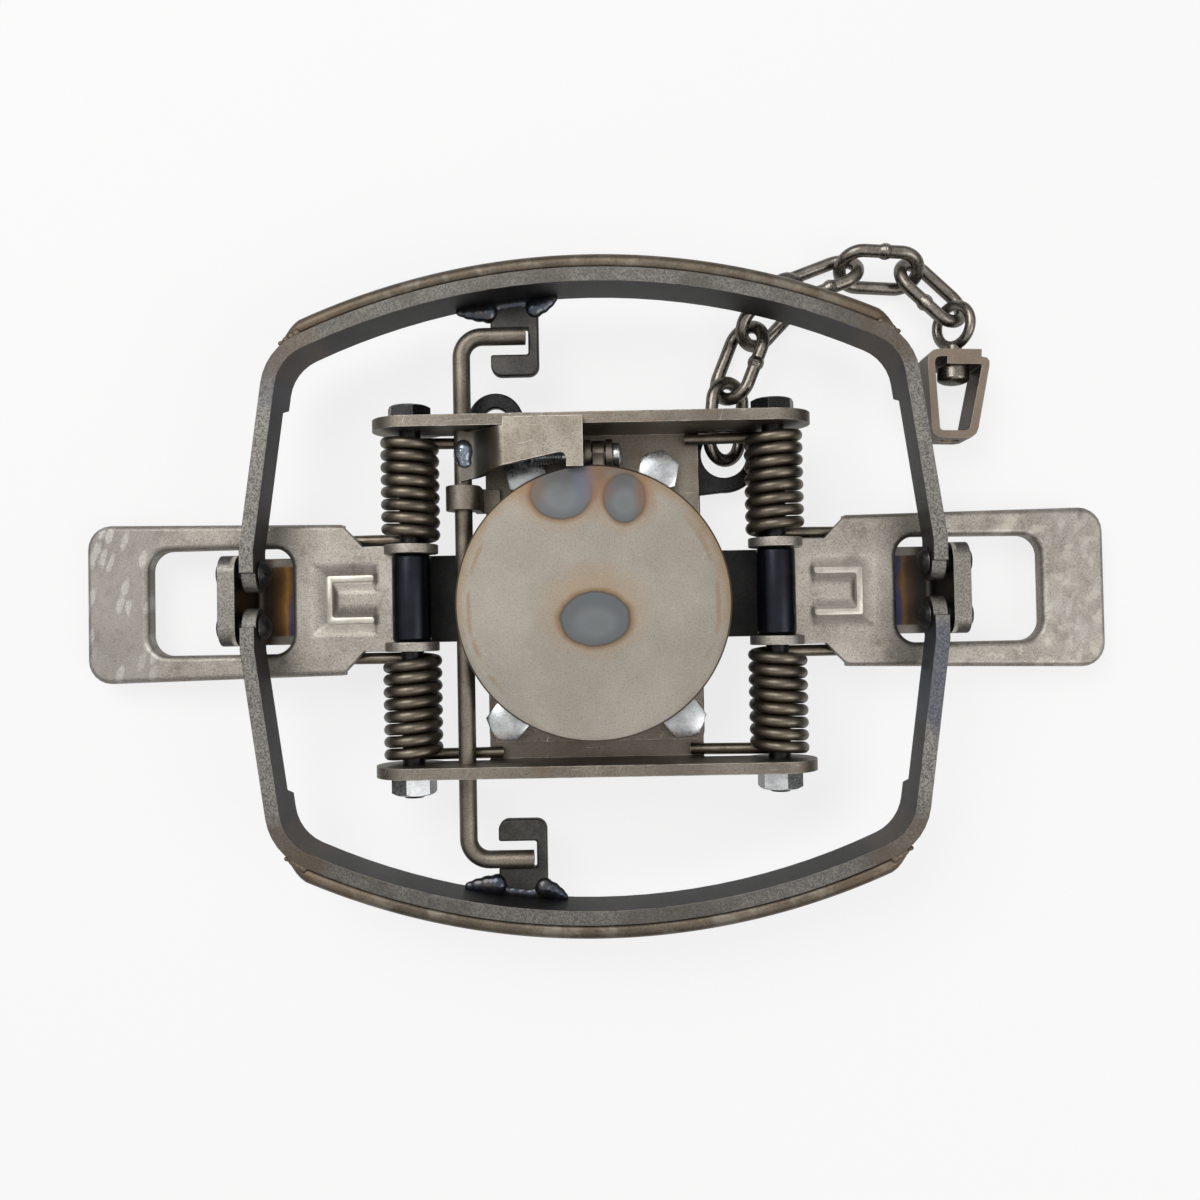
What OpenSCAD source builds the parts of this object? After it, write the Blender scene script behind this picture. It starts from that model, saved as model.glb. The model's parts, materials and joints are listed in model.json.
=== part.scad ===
// Leghold trap, set, with four coil springs, a pan, a rod trigger and a swivel chain.
// Millimetres. X runs along the frame strip, Y from the front jaw to the rear jaw, Z up.
// The origin is the middle of the base's underside.

/* [Frame] */
// Width of the frame strip and of its upturned posts
strip_w = 25.4; // [22:0.1:28]
// Thickness of the frame strip
strip_t = 4.8; // [4:0.1:6]
// Distance between the inner faces of the two posts
post_gap = 198; // [190:1:206]
// Height of the jaw pivots above the top of the strip
pivot_rise = 14.7; // [14:0.1:16]
// Distance between the two jaw pivots
pivot_gap = 15; // [14:0.1:16]
// Post material above the jaw pivots
post_cap = 6.6; // [6:0.1:9]
// Diameter of the jaw pins
pin_d = 6; // [5:0.1:6.4]

/* [Base] */
// Thickness of the lower plate
lower_t = 3; // [2:0.1:4]
// Length of the lower plate along the strip
lower_len = 64; // [60:0.5:66]
// Width of the lower plate across the strip
lower_w = 92; // [86:0.5:98]
// Thickness of the cross plate's web
web_t = 3; // [2.5:0.1:4]
// Length of the web along the strip
web_len = 62; // [58:0.5:64]
// Clear distance between the two rails
rail_gap = 93.6; // [92:0.2:97]
// Thickness of the rails
rail_t = 3.2; // [2.5:0.1:4]
// Radius of the rounded rail ends round the spring bolts
ear_r = 10.4; // [9.5:0.1:11]
// Height of the open notch under the rails beside the web
relief_h = 6.2; // [5:0.1:7]
// Distance between the rear base bolts
rear_bolt_gap = 38.2; // [36:0.2:40]
// Distance between the front base bolts
front_bolt_gap = 50.4; // [48:0.2:51]
// Distance of the base bolts in front of and behind the strip's middle
base_bolt_y = 35.5; // [34:0.1:37]
// Diameter of the bolts
bolt_d = 6.35; // [5.5:0.05:7]
// Width of the bolt heads across their flats
head_af = 11.1; // [10:0.1:12]
// Height of the bolt heads
head_h = 4.2; // [3:0.1:5]

/* [Springs] */
// Distance between the two spring bolts
bolt_gap = 102.8; // [100:0.2:106]
// Height of the spring bolts above the web
bolt_rise = 10.2; // [9.8:0.1:11]
// Mean diameter of the coils
coil_d = 13.3; // [13:0.1:14]
// Diameter of the spring wire
wire_d = 3.46; // [3:0.02:3.5]
// Turns in each coil
coil_turns = 7; // [5:1:7]
// Length of the spring leg under the lever
lever_leg = 33; // [26:0.5:34]
// Reach of the other spring leg over the web
web_reach = 4; // [2:0.5:6]
// Outside diameter of the spacer tubes
tube_d = 11; // [9:0.1:12]

/* [Levers] */
// Reach of a lever from its spring bolt to its end
lever_len = 98.8; // [95:0.2:104]
// Width of a lever at its end
lever_w = 46.6; // [44:0.2:50]
// Width of the lever where the springs push it
shoulder_w = 43.4; // [42:0.2:44]
// Width of the lever over its two ears
neck_w = 30; // [29:0.1:31]
// Thickness of the lever's sheet
sheet_t = 2.6; // [2:0.1:3]
// Depth of the lever's turned-down edges
flange_h = 5.8; // [4:0.1:6.5]
// Start of the window, from the spring bolt
window_u = 36; // [34:0.2:37]
// Length of the window
window_len = 43.6; // [40:0.2:48]
// Width of the window
window_w = 30.6; // [30:0.1:32]
// Slope of the pressed-down lever
lever_slope = 6; // [4:0.5:7]
// Drop of the lever's top face below the spring bolt
lever_drop = 2; // [1:0.1:2.5]
// Outer radius of the lever's ears
lever_ear_r = 7.6; // [6.5:0.1:8.5]
// Depth of the U pressed into the lever
groove_h = 1.2; // [0.5:0.1:1.5]
// Depth of the turned-down edge round the window
collar_h = 4.6; // [3.5:0.1:6]

/* [Jaws] */
// Spread of the open jaws over their outer rods
spread = 190.5; // [186:0.5:196]
// Thickness of the jaw bar
jaw_t = 4; // [3.4:0.1:4.6]
// Height of the jaw bar along its bow
jaw_h = 16.7; // [14:0.1:17]
// Distance from the jaw pivot down to the lower edge of a leg
leg_drop = 4.2; // [3.6:0.1:4.4]
// Outer radius of the bow
bow_r = 198; // [185:1:215]
// Outer radius of the corners
corner_r = 17; // [12:0.5:22]
// Lean of the legs
leg_lean = 8; // [6:0.25:10]
// Length of the upright stretch of a leg at its pivot
leg_foot = 14; // [12:0.5:18]
// Running gap between a leg and its post
leg_gap = 1.5; // [1:0.1:2]
// Radius of the rounded leg end
eye_r = 5.4; // [5:0.1:6]
// Gap left between the closed jaws
bite_gap = 0.6; // [0.4:0.1:4]
// Diameter of the rod along the outside of each bow
jaw_rod_d = 4.7; // [4:0.1:5.5]
// Length of that rod across the trap
jaw_rod_span = 158; // [140:1:162]

/* [Trigger] */
// Diameter of the trigger rod
rod_d = 5; // [4:0.1:5.6]
// Distance of the rod from the middle of the trap
rod_x = 36.5; // [36:0.1:38]
// Height of the rod above the web
rod_rise = 9.2; // [8.5:0.1:10]
// Distance of the bent rod ends inside the top of the bow
rod_inset = 16.55; // [14.5:0.05:18.5]
// Length of each bent rod end
rod_toe = 18.3; // [16:0.1:19]
// Width of the jaw tabs
tab_w = 13.8; // [12.5:0.1:15]
// Length of the jaw tabs inward from the jaw
tab_len = 21; // [18:0.2:23]
// Thickness of the jaw tabs
tab_t = 3.6; // [3:0.1:4]
// Width of the trigger plate at the rod
trigger_w = 14; // [12.5:0.1:15]
// Thickness of the trigger plate
trigger_t = 2; // [1.5:0.1:2.5]
// Reach of the trigger plate from the rod
trigger_len = 34; // [30:0.2:36]
// Gap between the rear rail and the trigger plate's flat above it
trigger_gap = 0.5; // [0.3:0.1:2]

/* [Pan] */
// Diameter of the pan
pan_d = 76; // [70:0.5:78]
// Thickness of the pan
pan_t = 2.4; // [1.5:0.1:3]
// Height of the pan's underside above the web
pan_rise = 17.4; // [17:0.1:19]
// Distance of the pan's middle in front of the strip's middle
pan_shift = 2.5; // [1:0.1:3.5]
// Distance of the pan's hinge behind the strip's middle
hinge_y = 39.6; // [39.2:0.1:40.5]
// Height of the pan's hinge above the web
hinge_rise = 8.2; // [7:0.1:9]
// Diameter of the pan's hinge bolt
hinge_d = 4.8; // [4:0.1:5.2]

/* [Chain] */
// Diameter of the chain wire
link_d = 3.8; // [3.4:0.05:3.85]
// Outside length of a link
link_len = 26.8; // [26:0.1:27.6]
// Outside width of a link
link_w = 16; // [15:0.1:17]
// Slack where two links meet
link_slack = 1.2; // [1:0.05:1.5]
// Thickness of the swivel plates
swivel_t = 3; // [2.5:0.1:3.2]
// Strap width of the end swivel's box
box_h = 12.4; // [10:0.1:13]
// Strap thickness of the end swivel's box
box_t = 2.2; // [2:0.1:2.6]
// Length of the end swivel's box
box_len = 26; // [22:0.5:30]

/* [Hidden] */
$fn = 48;
fit = 0.06;
ease = 0.3;

// Levels, from the floor up
strip_z = lower_t;
web_z = strip_z + strip_t;
web_top = web_z + web_t;
bolt_z = web_top + bolt_rise;
rail_top = bolt_z + ear_r;
rod_z = web_top + rod_rise;
pivot_z = strip_z + strip_t + pivot_rise;
jaw_top = pivot_z + pivot_gap / 2 - bite_gap / 2;
pan_z = web_top + pan_rise;
hinge_z = web_top + hinge_rise;

// Places across the floor
post_in = post_gap / 2;
post_out = post_in + strip_t;
pivot_y = pivot_gap / 2;
bolt_x = bolt_gap / 2;
rail_in = rail_gap / 2;
rail_out = rail_in + rail_t;
nut_h = 5.2;
washer_gap = 0.1;
clamp_t = 1.6;
hex_r = head_af / sqrt(3);
lever_bore = bolt_d + 2 * fit;

// Jaw outline: the bow, the corner that blends it into a leg, and the leg's upright foot
leg_out = post_in - leg_gap;
bow_top = spread / 2 - jaw_rod_d;
rod_reach = bow_top - rod_inset;
bow_mid = [0, bow_top - bow_r];
leg_normal = [cos(leg_lean), sin(leg_lean)];
leg_line = leg_normal * [leg_out, leg_foot];
leg_dir = [-sin(leg_lean), cos(leg_lean)];
corner_in = leg_line - corner_r;
corner_up = bow_mid * leg_dir + sqrt(pow(bow_r - corner_r, 2) - pow(corner_in - bow_mid * leg_normal, 2));
corner_mid = corner_in * leg_normal + corner_up * leg_dir;
bow_half = atan2(corner_mid.x - bow_mid.x, corner_mid.y - bow_mid.y);
bow_steps = 12;
corner_steps = 6;

// Points from the middle of the bow to the foot of a leg, inset from the outer outline
function jaw_side(inset) = concat(
    [for (i = [0:bow_steps]) let (a = bow_half * i / bow_steps)
        bow_mid + (bow_r - inset) * [sin(a), cos(a)]],
    [for (i = [1:corner_steps]) let (a = bow_half + (90 - leg_lean - bow_half) * i / corner_steps)
        corner_mid + (corner_r - inset) * [sin(a), cos(a)]],
    [[leg_out - inset, (leg_line - inset - leg_normal.x * (leg_out - inset)) / leg_normal.y]],
    [[leg_out - inset, pivot_y]]);
function flipped(points) = [for (i = [len(points) - 1:-1:0]) [-points[i].x, points[i].y]];
function jaw_half_loop(inset) = concat(flipped(jaw_side(inset)), jaw_side(inset));

// Spring wire, in the plane across its bolt: x outward from the bolt, z up
coil_r = coil_d / 2;
coil_start = neck_w / 2 + ease + wire_d / 2;
coil_end = rail_in - ease - wire_d / 2;
web_leg = [web_len / 2 - web_reach - bolt_x, web_top + wire_d / 2 + washer_gap - bolt_z];
start_angle = 270 - lever_slope;
end_angle = atan2(web_leg[1], web_leg[0]) + 360 + acos(coil_r / norm(web_leg)) - 360 * coil_turns;
rings_per_turn = 8;
coil_rings = ceil((start_angle - end_angle) / 360 * rings_per_turn);
wire_sides = 6;
leg_out_dir = [cos(lever_slope), 0, -sin(lever_slope)];

function coil_point(t) = let (a = start_angle + (end_angle - start_angle) * t)
    [coil_r * cos(a), coil_start + (coil_end - coil_start) * t, coil_r * sin(a)];
spring_path = concat(
    [coil_point(0) + lever_leg * leg_out_dir, coil_point(0) + lever_leg / 4 * leg_out_dir],
    [for (i = [0:coil_rings]) coil_point(i / coil_rings)],
    [[(web_leg[0] + coil_point(1).x) / 2, coil_end, (web_leg[1] + coil_point(1).z) / 2],
     [web_leg[0], coil_end, web_leg[1]]]);
// Least gap between the wire and the next turns, measured from ring to ring
coil_gaps = [for (i = [0:coil_rings]) for (j = [i + rings_per_turn - 2:coil_rings])
    norm(coil_point(i / coil_rings) - coil_point(j / coil_rings)) - wire_d];
echo(spring_least_gap = min(coil_gaps));

// Chain: where each link points, and how far it rolls about its own length
link_turns = [84, 68, 46, 20, -4, -44];
link_rolls = [38, -45, 45, -45, 48, -38];
link_end = link_len / 2 - link_d / 2;
link_arc = link_w / 2 - link_d / 2;
link_step = link_end - (link_d + link_slack) / 2;
hook_x = 39;
hook_y = 51;
chain_start = [hook_x, hook_y - link_step];
function heading(a) = [cos(a), sin(a)];
function chain_joint(i) = i == 0
    ? chain_start : chain_joint(i - 1) + 2 * link_step * heading(link_turns[i - 1]);
function link_lift(roll) = link_arc * abs(sin(roll)) + link_d / 2 + washer_gap / 2;
hook_back = 1;
swivel_hole = 6.8;
swivel_rim = 4.4;
hook_at = chain_start - [rear_bolt_gap / 2, base_bolt_y + hook_back];
swivel_turn_right = atan2(hook_at.y, hook_at.x);
spare_hole = 3.8;
spare_reach = 19.2;
spare_turn = 61.4;
eye_turn = -92;
eye_roll = 55;
eye_arc = 6;
eye_d = 3;
eye_reach = eye_arc - (eye_d + link_slack) / 2;
eye_mid = chain_joint(6) + eye_reach * heading(eye_turn);
stem_d = 5;
box_z = box_h / 2 + washer_gap;
swivel_z = strip_z + strip_t / 2 - swivel_t / 2 + 0.3;

module bar_x(x0, x1, y, z, d) {
    translate([x0, y, z])
        rotate([0, 90, 0])
            cylinder(h = x1 - x0, d = d);
}

module bar_y(y0, y1, x, z, d) {
    translate([x, y0, z])
        rotate([-90, 0, 0])
            cylinder(h = y1 - y0, d = d);
}

// A flat piece drawn in X and Z, then given a thickness along Y
module slab_y(y0, y1) {
    translate([0, y1, 0])
        rotate([90, 0, 0])
            linear_extrude(y1 - y0)
                children();
}

// A flat piece drawn in Y and Z, then given a thickness along X
module slab_x(x0, x1) {
    translate([x0, 0, 0])
        rotate([90, 0, 90])
            linear_extrude(x1 - x0)
                children();
}

module at_each_side() {
    children();
    mirror([1, 0, 0]) children();
}

module front_and_rear() {
    children();
    mirror([0, 1, 0]) children();
}

// A tube of wire through a list of points
module wire(points, d) {
    last = len(points) - 1;
    function forward(i) = let (v = points[min(i + 1, last)] - points[max(i - 1, 0)]) v / norm(v);
    function across(i) = let (v = cross(forward(i), [0, 1, 0])) v / norm(v);
    rings = [for (i = [0:last]) for (k = [0:wire_sides - 1])
        let (a = 360 * k / wire_sides, u = across(i), w = cross(forward(i), across(i)))
        points[i] + d / 2 * (cos(a) * u + sin(a) * w)];
    walls = [for (i = [0:last - 1]) for (k = [0:wire_sides - 1])
        let (a = i * wire_sides + k, b = i * wire_sides + (k + 1) % wire_sides)
        each [[a, a + wire_sides, b + wire_sides], [a, b + wire_sides, b]]];
    start_cap = [for (k = [1:wire_sides - 2]) [0, k, k + 1]];
    end_ring = last * wire_sides;
    end_cap = [for (k = [1:wire_sides - 2]) [end_ring, end_ring + k + 1, end_ring + k]];
    polyhedron(rings, concat(walls, start_cap, end_cap));
}

module hex_head(h) {
    cylinder(h = h, r = hex_r, $fn = 6);
}

module frame_strip() {
    bend_r = 2;
    bend_steps = 8;
    corner = 5;
    top = pivot_z + post_cap;
    bend_mid = [post_in - bend_r, strip_z + strip_t + bend_r];
    function bend(side, r, a0, a1) = [for (i = [0:bend_steps]) let (a = a0 + (a1 - a0) * i / bend_steps)
        [side * bend_mid.x + r * cos(a), bend_mid.y + r * sin(a)]];
    post_corner = [for (i = [0:bend_steps]) let (a = 90 * i / bend_steps)
        [strip_w / 2 - corner, top - corner] + corner * [cos(a), sin(a)]];
    color("dimgray")
        difference() {
            intersection() {
                slab_y(-strip_w / 2, strip_w / 2)
                    polygon(concat([[-post_out, top]],
                        bend(-1, strip_t + bend_r, 180, 270), bend(1, strip_t + bend_r, 270, 360),
                        [[post_out, top], [post_in, top]],
                        bend(1, bend_r, 360, 270), bend(-1, bend_r, 270, 180), [[-post_in, top]]));
                slab_x(-post_out - 1, post_out + 1)
                    polygon(concat([[strip_w / 2, 0]], post_corner, flipped(post_corner), [[-strip_w / 2, 0]]));
            }
            front_and_rear()
                bar_x(-post_out - 1, post_out + 1, pivot_y, pivot_z, pin_d + 2 * fit);
        }
}

module rail_profile() {
    translate([-web_len / 2, web_z])
        square([web_len, rail_top - web_z]);
    translate([-bolt_x, web_z + relief_h])
        square([2 * bolt_x, rail_top - web_z - relief_h]);
    at_each_side()
        translate([bolt_x, bolt_z])
            circle(ear_r);
}

module base_bolt_places() {
    for (s = [-1, 1]) {
        translate([s * rear_bolt_gap / 2, base_bolt_y, 0]) children();
        translate([s * front_bolt_gap / 2, -base_bolt_y, 0]) children();
    }
}

module cross_plate() {
    color("gray")
        difference() {
            union() {
                translate([-web_len / 2, -rail_in - 0.1, web_z])
                    cube([web_len, rail_gap + 0.2, web_t]);
                front_and_rear()
                    slab_y(rail_in, rail_out) rail_profile();
            }
            base_bolt_places()
                translate([0, 0, web_z - 1]) cylinder(h = web_t + 2, d = bolt_d + 2 * fit);
            for (s = [-1, 1])
                bar_y(-rail_out - 1, rail_out + 1, s * bolt_x, bolt_z, bolt_d + 2 * fit);
            bar_y(-rail_out - 1, rail_out + 1, -rod_x, rod_z, rod_d + 2 * fit);
        }
}

module lower_plate() {
    corner = 6;
    color("gray")
        difference() {
            linear_extrude(lower_t)
                union() {
                    square([lower_len, lower_w - 2 * corner], center = true);
                    square([lower_len - 2 * corner, lower_w], center = true);
                    for (sx = [-1, 1], sy = [-1, 1])
                        translate([sx * (lower_len / 2 - corner), sy * (lower_w / 2 - corner)])
                            circle(corner);
                }
            base_bolt_places()
                translate([0, 0, -1]) cylinder(h = lower_t + 2, d = bolt_d + 2 * fit);
        }
}

module clamp_bar() {
    bar_w = 13;
    bar_len = front_bolt_gap + 8;
    color("silver")
        difference() {
            translate([-bar_len / 2, -base_bolt_y - bar_w / 2, web_top])
                cube([bar_len, bar_w, clamp_t]);
            for (s = [-1, 1])
                translate([s * front_bolt_gap / 2, -base_bolt_y, web_top - 1])
                    cylinder(h = clamp_t + 2, d = bolt_d + 2 * fit);
        }
}

module base_bolts() {
    rear_twist = 17;
    front_twist = 8;
    color("gainsboro")
        for (s = [-1, 1]) {
            translate([s * rear_bolt_gap / 2, base_bolt_y, 0]) {
                translate([0, 0, washer_gap]) cylinder(h = web_top - washer_gap, d = bolt_d);
                translate([0, 0, web_top]) rotate(s * rear_twist) hex_head(head_h);
            }
            translate([s * front_bolt_gap / 2, -base_bolt_y, 0]) {
                translate([0, 0, washer_gap]) cylinder(h = web_top + clamp_t - washer_gap, d = bolt_d);
                translate([0, 0, web_top + clamp_t]) rotate(s * front_twist) hex_head(head_h);
            }
        }
}

module spring_bolt(side) {
    head_twist = 12;
    thread_end = 0.8;
    color("darkslategray")
        translate([side * bolt_x, 0, bolt_z])
            rotate([90, 0, 0]) {
                translate([0, 0, -rail_out - head_h]) rotate(side * head_twist) hex_head(head_h);
                translate([0, 0, -rail_out]) cylinder(h = 2 * rail_out + nut_h + thread_end, d = bolt_d);
            }
}

module spring_nuts() {
    nut_twist = 20;
    color("gainsboro")
        for (s = [-1, 1])
            translate([s * bolt_x, -rail_out, bolt_z])
                rotate([90, 0, 0])
                    difference() {
                        rotate(s * nut_twist) hex_head(nut_h);
                        translate([0, 0, -1]) cylinder(h = nut_h + 2, d = bolt_d + 2 * fit);
                    }
}

module spacer_tube(side) {
    half = neck_w / 2 - sheet_t - 0.15;
    color("black")
        difference() {
            bar_y(-half, half, side * bolt_x, bolt_z, tube_d);
            bar_y(-half - 1, half + 1, side * bolt_x, bolt_z, bolt_d + 2 * fit);
        }
}

// A strap bent round the trigger rod, with its foot on the web
module rod_loop() {
    strap_t = 2.4;
    strap_w = 7;
    strap_y = 27.9;
    foot = 4.4;
    loop_r = rod_d / 2 + fit + strap_t;
    foot_end = foot - web_len / 2;
    color("gray")
        difference() {
            slab_y(strap_y - strap_w / 2, strap_y + strap_w / 2)
                union() {
                    translate([-rod_x, rod_z])
                        circle(loop_r);
                    translate([-rod_x + loop_r - strap_t, web_top])
                        square([strap_t, rod_z - web_top]);
                    translate([-rod_x + loop_r - strap_t, web_top])
                        square([foot_end + rod_x - loop_r + strap_t, strap_t]);
                }
            bar_y(strap_y - strap_w, strap_y + strap_w, -rod_x, rod_z, rod_d + 2 * fit);
        }
}

bracket_x = -2;
bracket_w = 8;
bracket_t = 2;

module pan_bracket() {
    ear = hinge_d / 2 + 2.2;
    color("silver")
        difference() {
            slab_x(bracket_x, bracket_x + bracket_w)
                union() {
                    translate([hinge_y, hinge_z]) circle(ear);
                    translate([hinge_y - ear, web_top]) square([2 * ear, hinge_z - web_top]);
                }
            translate([bracket_x + bracket_t, hinge_y - ear - 1, web_top + bracket_t])
                cube([bracket_w - 2 * bracket_t, 2 * ear + 2, 2 * ear + hinge_rise]);
            bar_x(bracket_x - 1, bracket_x + bracket_w + 1, hinge_y, hinge_z, hinge_d + 2 * fit);
        }
}

module pan_hinge_bolt() {
    tail = 15;
    cap_h = 2.6;
    color("silver") {
        bar_x(bracket_x - tail, bracket_x + bracket_w, hinge_y, hinge_z, hinge_d);
        bar_x(bracket_x + bracket_w, bracket_x + bracket_w + cap_h, hinge_y, hinge_z, hinge_d + 2.4);
    }
}

// Two rivets with a dome inside the leg and a peened end outside the post
module jaw_pins(side) {
    dome_r = pin_d / 2 + 0.9;
    dome_h = 3;
    peen_h = 1.6;
    head_x = leg_out - jaw_t;
    ball_r = (dome_r * dome_r + dome_h * dome_h) / (2 * dome_h);
    color("darkslategray")
        front_and_rear()
            translate([0, pivot_y, pivot_z])
                rotate([0, 90 * side, 0]) {
                    translate([0, 0, head_x]) cylinder(h = post_out - head_x, d = pin_d);
                    intersection() {
                        translate([0, 0, head_x - dome_h + ball_r]) sphere(ball_r);
                        translate([0, 0, head_x - dome_h - 1])
                            cylinder(h = dome_h + 1 - ease, r = dome_r + 1);
                    }
                    translate([0, 0, head_x - ease]) cylinder(h = ease, d = pin_d);
                    translate([0, 0, post_out]) cylinder(h = peen_h, r1 = dome_r, r2 = dome_r - 1);
                }
}

// The rear jaw; the front one is its mirror image
module jaw_bar() {
    leg_low = pivot_z - leg_drop;
    taper = jaw_h - (jaw_top - leg_low);
    leg_end = corner_mid.y - 4;
    difference() {
        union() {
            translate([0, 0, jaw_top - jaw_h])
                linear_extrude(jaw_h)
                    polygon(concat(jaw_half_loop(0), [for (p = jaw_half_loop(jaw_t)) [-p.x, p.y]]));
            at_each_side()
                bar_x(leg_out - jaw_t, leg_out, pivot_y, pivot_z, 2 * eye_r);
        }
        slab_x(-post_in, post_in)
            polygon([[0, 0], [0, pivot_z - eye_r - 3], [pivot_y, pivot_z - eye_r - 3],
                [pivot_y, leg_low], [leg_end, leg_low], [leg_end + taper, 0]]);
        bar_x(-post_in, post_in, pivot_y, pivot_z, pin_d + 2 * fit);
    }
}

module rear_jaw() {
    color("darkslategray") jaw_bar();
}

module front_jaw() {
    color("darkslategray") mirror([0, 1, 0]) jaw_bar();
}

module jaw_rod() {
    half = asin(jaw_rod_span / 2 / bow_r);
    translate([bow_mid.x, bow_mid.y, jaw_top - jaw_rod_d / 2 - 0.6])
        rotate(90 - half)
            rotate_extrude(angle = 2 * half, $fn = 5 * $fn)
                translate([bow_r + jaw_rod_d / 2 + washer_gap, 0]) circle(d = jaw_rod_d, $fn = 24);
}

module rear_jaw_rod() {
    color("saddlebrown") jaw_rod();
}

module front_jaw_rod() {
    color("saddlebrown") mirror([0, 1, 0]) jaw_rod();
}

// Tab under the bent end of the trigger rod
tab_top = rod_z - rod_d / 2 - ease;
toe_end = -rod_x + rod_toe;
tab_right = toe_end + 3.6;
tab_mid = tab_right - tab_w / 2;
wall_y = bow_mid.y + sqrt(pow(bow_r - jaw_t, 2) - pow(tab_right - tab_w, 2)) - 0.05;

module jaw_tab() {
    slot_front = 4.4;
    slot_back = 3;
    corner = 3;
    tip = wall_y - tab_len;
    translate([0, 0, tab_top - tab_t])
        linear_extrude(tab_t)
            difference() {
                union() {
                    translate([tab_right - tab_w, tip + corner])
                        square([tab_w, tab_len - corner]);
                    translate([tab_right - tab_w + corner, tip])
                        square([tab_w - 2 * corner, tab_len]);
                    for (s = [-1, 1])
                        translate([tab_mid + s * (tab_w / 2 - corner), tip + corner]) circle(corner);
                }
                translate([tab_right - tab_w - 1, rod_reach - slot_front])
                    square([toe_end + 0.6 - tab_right + tab_w + 1, slot_front + slot_back]);
            }
}

module rear_tab() {
    color("dimgray") jaw_tab();
}

module front_tab() {
    color("dimgray") mirror([0, 1, 0]) jaw_tab();
}

// Two weld fillets beside the root of a tab
module tab_weld() {
    reach = 9;
    depth = 6;
    for (s = [-1, 1])
        translate([tab_mid + s * (tab_w / 2 + 0.02), wall_y, tab_top - tab_t])
            scale_sign(s)
                linear_extrude(tab_t + 1.4)
                    polygon([[0, -0.35], [0, -depth], [reach * 0.4, -depth * 0.75],
                        [reach * 0.8, -depth * 0.4], [reach, -2.5], [reach, -1.6]]);
}

module scale_sign(s) {
    mirror([s < 0 ? 1 : 0, 0, 0]) children();
}

module rear_tab_weld() {
    color("slategray") tab_weld();
}

module front_tab_weld() {
    color("slategray") mirror([0, 1, 0]) tab_weld();
}

// Plan of the lever from its neck to its end, inset from the outer edge
module lever_plan(inset) {
    half_end = lever_w / 2 - inset;
    half_shoulder = shoulder_w / 2 - inset;
    half_neck = neck_w / 2 - inset;
    shoulder_u = 21.6;
    neck_u = shoulder_u - (shoulder_w - neck_w) / 2;
    end_r = 7;
    end_u = lever_len - inset;
    near_u = inset > 0 ? shoulder_u : tube_d / 2 + ease;
    polygon(concat(
        inset > 0 ? [] : [[near_u, half_neck], [neck_u, half_neck]],
        [[shoulder_u, half_shoulder], [end_u - end_r, half_end]],
        [for (a = [75:-15:0]) [end_u - end_r, half_end - end_r] + end_r * [cos(a), sin(a)]],
        [for (a = [0:-15:-75]) [end_u - end_r, end_r - half_end] + end_r * [cos(a), sin(a)]],
        [[end_u - end_r, -half_end], [shoulder_u, -half_shoulder]],
        inset > 0 ? [] : [[neck_u, -half_neck], [near_u, -half_neck]]));
}

module rounded_rect(u0, u1, half, r) {
    translate([u0 + r, -half]) square([u1 - u0 - 2 * r, 2 * half]);
    translate([u0, -half + r]) square([u1 - u0, 2 * half - 2 * r]);
    for (u = [u0 + r, u1 - r], s = [-1, 1])
        translate([u, s * (half - r)]) circle(r);
}

// The lever's window, grown outward
module window_plan(grow) {
    window_r = 6;
    rounded_rect(window_u - grow, window_u + window_len + grow, window_w / 2 + grow, window_r + grow);
}

// A wedge sunk into the lever's top: its floor reaches u and v from the bolt, and its slopes run out by more
module pressed_wedge(top, floor, run) {
    above = 1;
    low = top - groove_h;
    intersection() {
        slab_y(-lever_w, lever_w)
            polygon([[0, low], [floor.x, low], [floor.x + run.x, top], [floor.x + run.x, top + above],
                [0, top + above]]);
        slab_x(0, lever_len)
            polygon([[-floor.y, low], [floor.y, low], [floor.y + run.y, top], [floor.y + run.y, top + above],
                [-floor.y - run.y, top + above], [-floor.y - run.y, top]]);
    }
}

// A lever in its own frame: the bolt's axis is Y, x runs out along the lever
module lever_body() {
    plate_top = -lever_drop;
    plate_low = plate_top - sheet_t;
    ear_in = neck_w / 2 - sheet_t;
    ear_run = 12;
    flange_u = 21.6;
    floor_u = 26.1;
    floor_half = 6.9;
    floor_w = 2;
    outer_slope = [4, 3.2];
    inner_slope = [1.7, 2.9];
    difference() {
        union() {
            translate([0, 0, plate_low])
                linear_extrude(sheet_t)
                    difference() {
                        lever_plan(0);
                        window_plan(0);
                    }
            translate([0, 0, plate_top - flange_h])
                linear_extrude(flange_h - sheet_t / 2)
                    difference() {
                        lever_plan(0);
                        lever_plan(sheet_t);
                        translate([0, -neck_w]) square([flange_u, 2 * neck_w]);
                    }
            front_and_rear()
                slab_y(ear_in, neck_w / 2)
                    union() {
                        circle(lever_ear_r);
                        translate([0, -lever_ear_r]) square([ear_run, lever_ear_r + plate_top]);
                    }
            translate([0, 0, plate_top - collar_h])
                linear_extrude(collar_h - sheet_t / 2)
                    difference() {
                        window_plan(sheet_t);
                        window_plan(0);
                    }
        }
        difference() {
            pressed_wedge(plate_top, [floor_u, floor_half], outer_slope);
            pressed_wedge(plate_top, [floor_u - floor_w, floor_half - floor_w], -inner_slope);
        }
        bar_y(-neck_w, neck_w, 0, 0, lever_bore);
    }
}

module lever() {
    translate([bolt_x, 0, bolt_z])
        rotate([0, lever_slope, 0])
            lever_body();
}

module right_lever() {
    color("silver") lever();
}

module left_lever() {
    color("silver") mirror([1, 0, 0]) lever();
}

module spring() {
    color("rosybrown")
        translate([bolt_x, 0, bolt_z])
            wire(spring_path, wire_d);
}

module spring_rear_right() {
    spring();
}

module spring_rear_left() {
    mirror([1, 0, 0]) spring();
}

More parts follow.
